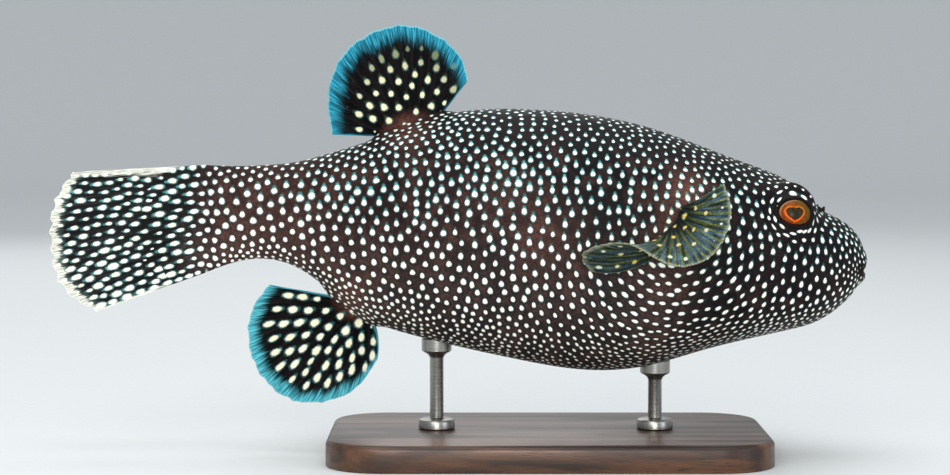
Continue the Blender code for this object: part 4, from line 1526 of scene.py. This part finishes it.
@dataclass
class Skin:
    """The one skin over head, trunk, tail stalk and tail fin."""

    form: BodyForm
    around: int = 256
    body_rings: int = 219
    snout_rings: int = 26
    fin_rings: int = 46
    fin_blend: float = 0.35  # share of the tail fin over which the stalk's flesh thins
    upper_band: tuple = (-121.0, 24.0)  # where the pale upper edge begins, and its growth
    # The mesh is halved between two lid rings, as far as a distance from the eye's middle.
    refined: tuple = ((0.0, 2.6, 21.0), (0.72, 1.5, 14.0))
    tail: FinForm = field(
        default_factory=lambda: FinForm(
            root=((-117.8, 0.0, 111.3), (-117.8, 0.0, 61.0)),
            margin=(
                (-179.8, 1.2, 108.0), (-187.4, 1.8, 97.4), (-190.4, 1.4, 86.0),
                (-190.6, 0.0, 71.0), (-187.4, -1.2, 58.8), (-179.4, -1.8, 48.6),
                (-168.8, -1.4, 43.0),
            ),
            rays=11, root_thick=7.0, scallop=0.02, fringe=0.012, ray_ridge=0.7,
        )
    )
    # Bare reddish flesh: place, level, radius and strength on each flank.
    flushes: tuple = (
        (-24.0, 128.0, 10.0, 0.5), (103.0, 101.0, 8.0, 0.6), (97.0, 90.0, 8.0, 0.5),
        (-48.0, 52.0, 12.0, 0.45), (38.0, 77.0, 18.0, 0.3), (20.0, 92.0, 14.0, 0.18),
        (92.0, 60.0, 14.0, 0.2), (-10.0, 84.0, 30.0, 0.14), (-86.0, 86.0, 42.0, 0.3),
    )

    def tail_rings(self, angles: Array) -> tuple[Array, Array]:
        """Rings from the tail fin's margin in to the stalk's end.

        Args:
            angles: angles from the left side over the back.

        Returns:
            Points by ring and angle, and the share and way out of each.
        """
        root = self.form.rings(np.array([0.0]), angles)[0]
        top, bottom = self.tail.root[0][2], self.tail.root[1][2]
        share = np.clip((top - root[:, 2]) / (top - bottom), 0, 1)
        outs = np.concatenate(
            [[1.0, 0.998, 0.994, 0.988], np.linspace(0.97, 1 / self.fin_rings, self.fin_rings)]
        )
        share, out = np.meshgrid(share, outs)
        side = np.sign(np.cos(angles))[None] * np.ones_like(out)
        side[np.abs(side * np.cos(angles)[None]) < 1e-9] = 0.0
        cut = self.tail.trimmed(share, out)
        facing = self.tail.facing(share, cut)
        facing = facing * np.where(facing[..., 1:2] < 0, -1.0, 1.0)
        sheet = self.tail.half_thickness(share, out)
        stalk = np.abs(root[:, 1])[None]
        half = blend(stalk, sheet, smooth_step(out / self.fin_blend))
        offset = self.tail.ripple(share, cut) + side * half
        points = self.tail.middle(share, cut) + facing * offset[..., None]
        return points, np.stack([share, out, 0 * out + 1], -1)

    def build(self) -> Object:
        """Builds and dresses the skin.

        Returns:
            The piece.
        """
        angles = 2 * math.pi * np.arange(self.around) / self.around
        tail, tail_form = self.tail_rings(angles)
        first, last = self.tail.root[0][0], self.form.snout_start
        stations = self.form.station_at(np.linspace(first, last, self.body_rings))
        body = self.form.rings(stations, angles)
        shares = np.arange(1, self.snout_rings + 1) / self.snout_rings
        snout = self.form.snout(shares, angles)
        mouth = self.form.mouth(snout[-1], angles)
        rings = np.concatenate([tail, body, snout, mouth])
        form = np.zeros(rings.shape)
        form[:len(tail)] = tail_form
        bm = loft(rings, form)
        self.refine_lids(bm)
        places, _ = coordinates(bm)
        move_to(bm, self.form.swell_eyes(places))
        ops.recalc_face_normals(bm, faces=bm.faces)
        places, normals = coordinates(bm)
        move_to(bm, self.form.raise_flesh(places, normals))
        ops.holes_fill(bm, edges=bm.edges, sides=0)
        piece = finish_piece(bm, "fish_skin")
        self.dress(piece)
        return piece

    def refine_lids(self, bm: BMesh) -> None:
        """Halves the mesh round the eyes, and again at the edges of the lids.

        Args:
            bm: the skin before the eyes' swelling.
        """
        for low, high, reach in self.refined:
            places, _ = coordinates(bm)
            rings = self.form.lid_ring(places)
            away = np.linalg.norm(self.form.eye_places(places), axis=-1)
            inside = (rings > low) & (rings < high) & (away < reach)
            for vert, chosen in zip(bm.verts, inside.tolist()):
                vert.tag = chosen
            edges = [edge for edge in bm.edges if edge.verts[0].tag or edge.verts[1].tag]
            ops.subdivide_edges(bm, edges=edges, cuts=1, use_grid_fill=True)

    def dress(self, piece: Object) -> None:
        """Writes the skin's attributes and spots, and gives it its finish.

        Args:
            piece: the skin.
        """
        mesh = piece.data
        share, out, on_fin = form_of(mesh).T
        x, _, z = places_of(mesh).T
        web = grows(out, 0.02, 0.26) * on_fin
        phase = share * (self.tail.rays - 1)
        write_vectors(mesh, "fin", "POINT", np.stack([web, phase, out], -1))
        margins = self.tail.margins(share, out)
        begun = fades(x, *self.upper_band)
        margins[:, 1] += 4 * (1 - begun)
        margins[:, 2] += 3 * (1 - fades(x, -125, 14))
        write_vectors(mesh, "margin", "POINT", np.where(on_fin[:, None] > 0, margins, 99.0))
        flush = np.zeros(len(x))
        for place, level, radius, strength in self.flushes:
            near = np.hypot(x - place, z - level)
            flush = np.maximum(flush, strength * bell(near, radius) * smooth_step(1 - out / 0.1))
        rows = self.form.curve.at(self.form.station_at(x))
        high = (z - rows[:, 2]) / (rows[:, 1] - rows[:, 2])
        # Painted shade darkens the head and the top of the body and tail, and painted light makes
        # the lower flank and belly paler.
        dark = 0.8 * grows(x, 108, 30) * grows(high, 0.1, 0.3)
        dark = np.maximum(dark, 0.9 * grows(high, 0.8, 0.15))
        pale = fades(high, 0.62, 0.4) * fades(x, 125, 40)
        write_vectors(mesh, "shade", "POINT", np.stack([flush, dark, pale], -1))
        dress_piece(piece, BODY_FINISH.make(), BodySpots(form=self.form).lay(mesh))


@dataclass
class Fin:
    """A fin of its own piece, with its spots and finish."""

    kind: FinKind
    form: FinForm
    spots: FinSpots
    finish: FleshFinish
    columns: int = 130
    rows: int = 52
    mirror: bool = False
    dark_from: float = 9.0  # share from which the fin is dark, for the pectoral's last lobe
    dark_root: float = 0.0  # share of the way out over which the root is dark
    flush_root: float = 0.0  # how far out the reddish flesh of the base reaches

    def build(self) -> Object:
        """Builds and dresses the fin.

        Returns:
            The piece.
        """
        ends = np.array([0.0, 0.003, 0.01, 0.018])
        share = np.concatenate([ends, np.linspace(0.026, 0.974, self.columns), 1 - ends[::-1]])
        out = np.concatenate([np.linspace(0.0, 0.97, self.rows), [0.982, 0.990, 0.996, 1.0]])
        out = np.concatenate([out, out[::-1][1:]])
        side = np.where(np.arange(len(out)) < (len(out) + 1) // 2, 1.0, -1.0)
        shares, outs = np.meshgrid(share, out, indexing="ij")
        sides = side[None] * np.ones_like(outs)
        bm = loft(self.form.surface(shares, outs, sides), np.stack([shares, outs, sides], -1))
        if self.mirror:
            ops.scale(bm, vec=(1, -1, 1), verts=bm.verts)
        piece = finish_piece(bm, self.kind.value + "_skin")
        mesh = piece.data
        if self.mirror:
            self.form = self.form.mirrored()
        self.spots.form = self.form
        share, out, _ = form_of(mesh).T
        phase = share * (self.form.rays - 1)
        write_vectors(mesh, "fin", "POINT", np.stack([0 * out + 1, phase, out], -1))
        write_vectors(mesh, "margin", "POINT", self.form.margins(share, out))
        dark = np.maximum(
            0.45 * grows(share, self.dark_from, 0.1),
            fades(out, self.dark_root, 0.25) * (self.dark_root > 0),
        )
        flush = 0.6 * fades(out, self.flush_root, 0.16) * (self.flush_root > 0)
        write_vectors(mesh, "shade", "POINT", np.stack([flush, dark, 0 * out], -1))
        count = self.spots.measure(mesh).lay(mesh)
        return dress_piece(piece, self.finish.make(), count)


@dataclass
class Eyes:
    """Both eyeballs, turned to their gaze."""

    form: BodyForm
    segments: int = 64
    rings: int = 40
    cornea: tuple = (0.35, 7.0)  # how far the clear front bulges, and its radius

    def build(self, side: Side, material: Material) -> Object:
        """Builds one eyeball.

        Args:
            side: the side of the head.
            material: the glass eye's finish.

        Returns:
            The piece.
        """
        bm = bmesh.new()
        ops.create_uvsphere(
            bm, u_segments=self.segments, v_segments=self.rings, radius=self.form.eye_radius
        )
        places, _ = coordinates(bm)
        bulge, wide = self.cornea
        reach = np.hypot(places[:, 0], places[:, 1])
        front = bulge * fades(reach, wide, wide) * (places[:, 2] > 0)
        local = places * (1 + front / self.form.eye_radius)[:, None]
        layer = bm.verts.layers.float_vector.new("gaze")
        for vert, place in zip(bm.verts, local.tolist()):
            vert[layer] = place
        turned = local @ self.form.eye_axes() + np.array(self.form.eye_centre)
        move_to(bm, turned * np.array([1.0, side.value, 1.0]))
        piece = finish_piece(bm, "eyeball_" + side.name.lower())
        return dress_piece(piece, material)


@dataclass
class Beak:
    """The beak's upper and lower plates, each with a groove down its middle."""

    form: BodyForm
    half: tuple = (6.0, 8.6, 2.7)
    setback: float = 1.5
    gap: float = 0.3
    groove: tuple = (0.8, 0.4)  # depth and half width

    def build(self, upper: bool, material: Material) -> Object:
        """Builds one plate.

        Args:
            upper: whether it is the upper one.
            material: the enamel.

        Returns:
            The piece.
        """
        level = self.form.mouth_level
        lips = float(self.form.snout_front(np.zeros(1), np.full(1, level))[0])
        centre = Vector((lips - self.setback - self.half[0], 0, level))
        bm = bmesh.new()
        ops.create_uvsphere(bm, u_segments=72, v_segments=32, radius=1.0)
        ops.scale(bm, vec=self.half, verts=bm.verts)
        ops.translate(bm, vec=centre, verts=bm.verts)
        sign = 1 if upper else -1
        bite = Vector((0, 0, level + sign * self.gap))
        for point, outside in ((bite, Vector((0, 0, -sign))), (centre, Vector((-1, 0, 0)))):
            everything = bm.verts[:] + bm.edges[:] + bm.faces[:]
            ops.bisect_plane(
                bm, geom=everything, plane_co=point, plane_no=outside, clear_outer=True
            )
            ops.holes_fill(bm, edges=bm.edges, sides=0)
        places, _ = coordinates(bm)
        deep, wide = self.groove
        places[:, 0] -= deep * bell(places[:, 1], wide) * (places[:, 0] > centre.x + 1)
        move_to(bm, places)
        piece = finish_piece(bm, "beak_plate_" + ("upper" if upper else "lower"), sharp=40.0)
        return dress_piece(piece, material)


@dataclass
class NostrilFlap:
    """The forked flap of flesh that stands at each nostril."""

    root: tuple = (167.6, 10.5, 88.5)
    height: float = 4.1
    width: float = 4.0
    thick: float = 1.7
    fork: float = 0.72
    buried: float = 2.6
    spread: float = 0.5  # how far the lobes part along the body at their tips

    def build(self, side: Side, material: Material) -> Object:
        """Builds one flap.

        Args:
            side: the side of the head.
            material: the flesh finish.

        Returns:
            The piece.
        """
        bm = bmesh.new()
        ops.create_cube(bm, size=1.0)
        stem = (self.width * 0.75, self.thick, self.buried + self.height * self.fork)
        ops.scale(bm, vec=stem, verts=bm.verts)
        ops.translate(bm, vec=(0, 0, stem[2] / 2 - self.buried), verts=bm.verts)
        long = [e for e in bm.edges if abs(e.verts[0].co.x - e.verts[1].co.x) > 0.1]
        ops.subdivide_edges(bm, edges=long, cuts=1, use_grid_fill=True)
        bm.normal_update()
        lobes = [f for f in bm.faces if f.normal.z > 0.9]
        for face in lobes:
            lean = math.copysign(self.spread, face.calc_center_median().x)
            grown = ops.extrude_discrete_faces(bm, faces=[face])["faces"]
            ops.translate(bm, vec=(lean, 0, self.height * (1 - self.fork)), verts=grown[0].verts)
            tip = grown[0].calc_center_median()
            ops.scale(
                bm, vec=(0.85, 0.7, 1.0), space=Matrix.Translation(-tip), verts=grown[0].verts
            )
        ops.recalc_face_normals(bm, faces=bm.faces)
        x, y, z = self.root
        ops.translate(bm, vec=(x, side.value * y, z), verts=bm.verts)
        piece = finish_piece(bm, "flap_of_nostril_" + side.name.lower())
        mesh = piece.data
        for name, value in (("spot", 4.0), ("spot_kind", 0.0), ("fin", 0.0), ("margin", 99.0)):
            write_vectors(mesh, name, "POINT", np.full((len(mesh.vertices), 3), value))
        write_vectors(mesh, "shade", "POINT", np.tile([0.05, 1.0, 0.0], (len(mesh.vertices), 1)))
        rounded = piece.modifiers.new("rounded", "SUBSURF")
        rounded.levels = rounded.render_levels = 3
        return dress_piece(piece, material)


@dataclass
class Stand:
    """A walnut base and two turned steel rods that carry the fish's belly."""

    form: BodyForm
    length: float = 204.0
    width: float = 116.0
    thick: float = 12.0
    corner: float = 26.0
    edge: float = 2.5
    foot_edge: float = 0.5
    centre_x: float = 42.0
    gap: float = 0.3
    rod_radius: float = 3.2
    collar_radius: float = 8.5
    collar_height: float = 4.5
    collar_bevel: float = 1.2
    cup_radius: float = 7.0
    cup_height: float = 5.0
    cup_flare: float = 3.0
    rod_places: tuple = (("front", 92.0), ("rear", -10.0))

    def build_base(self, material: Material) -> Object:
        """Builds the base, a board with round corners and softened edges.

        Args:
            material: the wood's finish.

        Returns:
            The piece.
        """
        bm = bmesh.new()
        ops.create_cube(bm, size=1.0)
        ops.scale(bm, vec=(self.length, self.width, self.thick), verts=bm.verts)
        ops.translate(bm, vec=(self.centre_x, 0, self.thick / 2), verts=bm.verts)
        # The upright corners, then the rim and the foot, by the levels of each edge's ends.
        for chosen, offset, segments in (
            (lambda low, high: high - low > 1, self.corner, 20),
            (lambda low, high: low > self.thick - 0.01, self.edge, 5),
            (lambda low, high: high < 0.01, self.foot_edge, 2),
        ):
            edges = [e for e in bm.edges if chosen(*sorted(v.co.z for v in e.verts))]
            ops.bevel(
                bm, geom=edges, offset=offset, segments=segments, profile=0.5,
                affect="EDGES", material=-1,
            )
        piece = finish_piece(bm, "display_base", lift=0.0, sharp=35.0)
        return dress_piece(piece, material)

    def build_rod(self, name: str, x: float, material: Material) -> Object:
        """Builds one rod, with its collar on the base and its cup under the belly.

        Args:
            name: the rod's name.
            x: its place along the body.
            material: the steel's finish.

        Returns:
            The piece.
        """
        foot, belly = self.thick + self.gap, self.form.belly_at(x)
        crown, cup_foot = foot + self.collar_height, belly - self.cup_height
        soft = 0.6  # the cup's rounded lip
        profile = (
            (0.0, foot), (self.collar_radius - 0.3, foot), (self.collar_radius, foot + 0.3),
            (self.collar_radius, crown - self.collar_bevel),
            (self.collar_radius - 0.35 * self.collar_bevel, crown - 0.35 * self.collar_bevel),
            (self.collar_radius - self.collar_bevel, crown), (self.rod_radius + 0.5, crown),
            (self.rod_radius, crown + 0.5), (self.rod_radius, cup_foot - self.cup_flare),
            (self.rod_radius + 0.6, cup_foot - 0.55 * self.cup_flare),
            (self.rod_radius + 1.9, cup_foot - 0.2 * self.cup_flare),
            (self.cup_radius - soft, cup_foot), (self.cup_radius, cup_foot + soft),
            (self.cup_radius, belly + 1.0), (0.0, belly + 1.0),
        )
        bm = bmesh.new()
        line = [bm.verts.new((radius, 0, height)) for radius, height in profile]
        edges = [bm.edges.new(pair) for pair in zip(line, line[1:])]
        ops.spin(
            bm, geom=line + edges, axis=(0, 0, 1), cent=(0, 0, 0), steps=64,
            angle=2 * math.pi, use_merge=True,
        )
        ops.remove_doubles(bm, verts=bm.verts, dist=1e-4)
        ops.translate(bm, vec=(x, 0, 0), verts=bm.verts)
        piece = finish_piece(bm, "display_rod_" + name, lift=0.0, sharp=32.0)
        return dress_piece(piece, material)


@dataclass
class Studio:
    """The pale sweep behind the model, the soft lights and the camera."""

    camera_at: tuple = (7.9, -1098.0, 168.0)
    camera_to: tuple = (7.9, 0.0, 101.5)
    field_width: float = 442.4  # what the frame's width covers at the fish
    sensor: float = 36.0
    sweep: tuple = (3000.0, 900.0)  # radius of the flat floor, and of its rim's curve
    sweep_drop: float = 0.2  # how far the floor lies under the base
    lights_to: tuple = (7.9, 0.0, 105.0)
    # Each soft light's name, place, side in millimetres, power in watts and colour.
    lights: tuple = (
        ("key", (-380, -1200, 700), 800, 6.0, "#fffaf2"),
        ("fill", (1150, -900, 380), 600, 3.4, "#f2f6ff"),
        ("low", (20, -1250, 260), 380, 5.5, "#fffdfa"),
        ("top", (0, 0, 1300), 1000, 8.0, "#ffffff"),
        ("back", (-300, 1300, 900), 1200, 4.5, "#ffffff"),
    )
    air: tuple = ("#eef1f4", 0.76)  # the surroundings' colour and strength

    def build_sweep(self) -> Object:
        """Builds the floor, a wide dish of paper whose rim curves up all round.

        Returns:
            The object.
        """
        flat, radius = self.sweep
        bm = bmesh.new()
        line = [bm.verts.new((x, 0.0, -self.sweep_drop)) for x in (0.0, flat)]
        for turn in np.linspace(0.0, math.pi / 2, 17)[1:]:
            level = radius * (1 - math.cos(turn)) - self.sweep_drop
            line.append(bm.verts.new((flat + radius * math.sin(turn), 0.0, level)))
        edges = [bm.edges.new(pair) for pair in zip(line, line[1:])]
        ops.spin(bm, geom=line + edges, axis=(0, 0, 1), cent=(0, 0, 0), angle=2 * math.pi, steps=96)
        ops.remove_doubles(bm, verts=bm.verts, dist=0.01)
        sweep = finish_piece(bm, "paper_sweep", lift=0.0)
        material, add, shader = new_material("matte seamless background paper")
        place = add("TexCoord", (), out="Object")
        fibre = add("TexNoise", {"Vector": place, "Scale": 300.0, "Detail": 2.0})
        colour = add("Mix", {0: fibre, 6: "#cfd3d4", 7: "#d6dadb"}, **COLOURS)
        connect(shader, {"Base Color": colour, "Roughness": 0.9})
        sweep.data.materials.append(material)
        return sweep

    def light(self, name: str, at: tuple, size: float, power: float, colour: str) -> None:
        """Hangs one soft square light.

        Args:
            name: the light's name.
            at: its place in millimetres.
            size: its side in millimetres.
            power: its power in watts.
            colour: its colour.
        """
        lamp = bpy.data.lights.new(name, "AREA")
        lamp.size = size * MM
        lamp.energy = power
        lamp.color = linear(colour)[:3]
        holder = new_object(name, lamp)
        holder.visible_camera = False
        self.aim(holder, Vector(at), Vector(self.lights_to))

    def aim(self, thing: Object, at: Vector, to: Vector) -> None:
        """Puts a light or camera at a place and turns it to a point, both in millimetres."""
        thing.location = at * MM
        thing.rotation_mode = "QUATERNION"
        thing.rotation_quaternion = (to - at).to_track_quat("-Z", "Y")

    def build(self) -> None:
        """Builds the sweep, the lights, the world and the camera."""
        self.build_sweep()
        for light in self.lights:
            self.light(*light)
        world = bpy.data.worlds.new("studio")
        world.use_nodes = True
        connect(world.node_tree.nodes["Background"], self.air)
        bpy.context.scene.world = world
        lens = bpy.data.cameras.new("camera")
        at, to = Vector(self.camera_at), Vector(self.camera_to)
        lens.sensor_width = self.sensor
        lens.lens = self.sensor * (to - at).length / self.field_width
        lens.clip_start, lens.clip_end = 0.05, 50.0
        camera = new_object("camera", lens)
        self.aim(camera, at, to)
        bpy.context.scene.camera = camera
        bpy.context.scene.view_settings.view_transform = "Standard"


DORSAL_FORM = FinForm(
    root=((-12.5, 0.0, 128.0), (-33.0, 0.0, 124.4)),
    margin=(
        (4.6, 0.6, 150.5), (1.8, 2.0, 160.8), (-9.5, 3.2, 171.6), (-25.5, 3.0, 176.6),
        (-40.5, 1.2, 173.0), (-52.8, -1.2, 163.6), (-60.0, -2.6, 147.5), (-58.8, -2.0, 125.4),
    ),
    rays=11, root_thick=9.0,
)
ANAL_FORM = FinForm(
    root=((-53.0, 0.0, 49.5), (-41.0, 0.0, 43.0)),
    margin=(
        (-88.5, 1.6, 55.4), (-96.9, 2.4, 43.5), (-98.4, 2.2, 29.5), (-92.2, 0.8, 12.0),
        (-79.5, -1.2, 1.6), (-64.0, -2.4, 0.4), (-48.0, -2.0, 6.6), (-37.6, -0.6, 20.5),
    ),
    rays=11, root_thick=10.0, bow_last=(4.0, 0.0, 0.0),
)
PECTORAL_FORM = FinForm(
    root=((100.6, 43.0, 94.0), (93.8, 44.5, 76.0)),
    margin=(
        (116.4, 71.0, 105.6), (118.6, 76.0, 97.0), (117.0, 80.5, 84.6), (110.0, 84.0, 73.8),
        (97.5, 84.6, 70.4), (83.0, 81.0, 75.4), (68.0, 73.5, 78.4), (54.9, 62.8, 75.2),
        (58.8, 54.8, 65.8),
    ),
    rays=17, root_thick=6.5, bow_first=(-2.0, 15.0, -1.0), bow_last=(0.0, 11.0, -9.0),
    margin_thick=0.7, scallop=0.012, fringe=0.014,
)


def fins() -> list[Fin]:
    """The fins that are pieces of their own."""
    made = [
        Fin(
            FinKind.DORSAL, DORSAL_FORM,
            FinSpots(apart=6.9, size=1.35, clear=(3.5, 10.5), dim_out=0.95, seed=SEED + 1),
            DORSAL_FINISH, flush_root=0.24,
        ),
        Fin(
            FinKind.ANAL, ANAL_FORM,
            FinSpots(
                apart=6.7, size=1.7, long_out=(1.05, 2.2), clear=(8.0, 5.5),
                tint=0.35, dim_out=0.1, seed=SEED + 2,
            ),
            ANAL_FINISH, flush_root=0.2,
        ),
    ]
    for kind in (FinKind.PECTORAL_LEFT, FinKind.PECTORAL_RIGHT):
        made.append(
            Fin(
                kind, PECTORAL_FORM,
                FinSpots(
                    apart=8.6, size=1.0, long_out=(1.1, 1.4),
                    clear=(3.0, 3.0), tint=0.8, dim_out=1.0, seed=SEED + 3,
                    placed=((0.18, 0.195, 1.6, 1.2), (0.475, 0.13, 1.5, 1.3)),
                ),
                PECTORAL_FINISH, columns=190, dark_from=0.68, dark_root=0.42,
                mirror=kind is FinKind.PECTORAL_RIGHT,
            )
        )
    return made


def main() -> None:
    """Builds the model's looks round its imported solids, piece by piece."""
    logging.basicConfig(level=logging.INFO, format="%(name)s: %(message)s")
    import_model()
    form = BodyForm()

    skin = Skin(form).build()
    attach(skin, "root")
    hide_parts("head", "trunk", "tail_stalk", "caudal_fin")
    for fin in fins():
        piece = fin.build()
        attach(piece, "root")
        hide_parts(fin.kind.value)
    glass, flesh = EyeFinish().make(), BODY_FINISH.make()
    for side in Side:
        ball = Eyes(form).build(side, glass)
        flap = NostrilFlap().build(side, flesh)
        for piece, slot, node in ((ball, "eye", "eye_"), (flap, "skin", "nostril_flap_")):
            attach(piece, "root")
            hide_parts(node + side.name.lower())
    enamel = BeakFinish().make()
    for upper, node in ((True, "beak_upper"), (False, "beak_lower")):
        plate = Beak(form).build(upper, enamel)
        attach(plate, "root")
        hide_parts(node)
    stand = Stand(form)
    base = stand.build_base(WalnutFinish().make())
    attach(base, "root")
    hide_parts("stand_base")
    steel = TurnedSteelFinish().make()
    for name, x in stand.rod_places:
        rod = stand.build_rod(name, x, steel)
        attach(rod, "root")
        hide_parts("stand_rod_" + name)
    Studio().build()


if __name__ == "__main__":
    main()
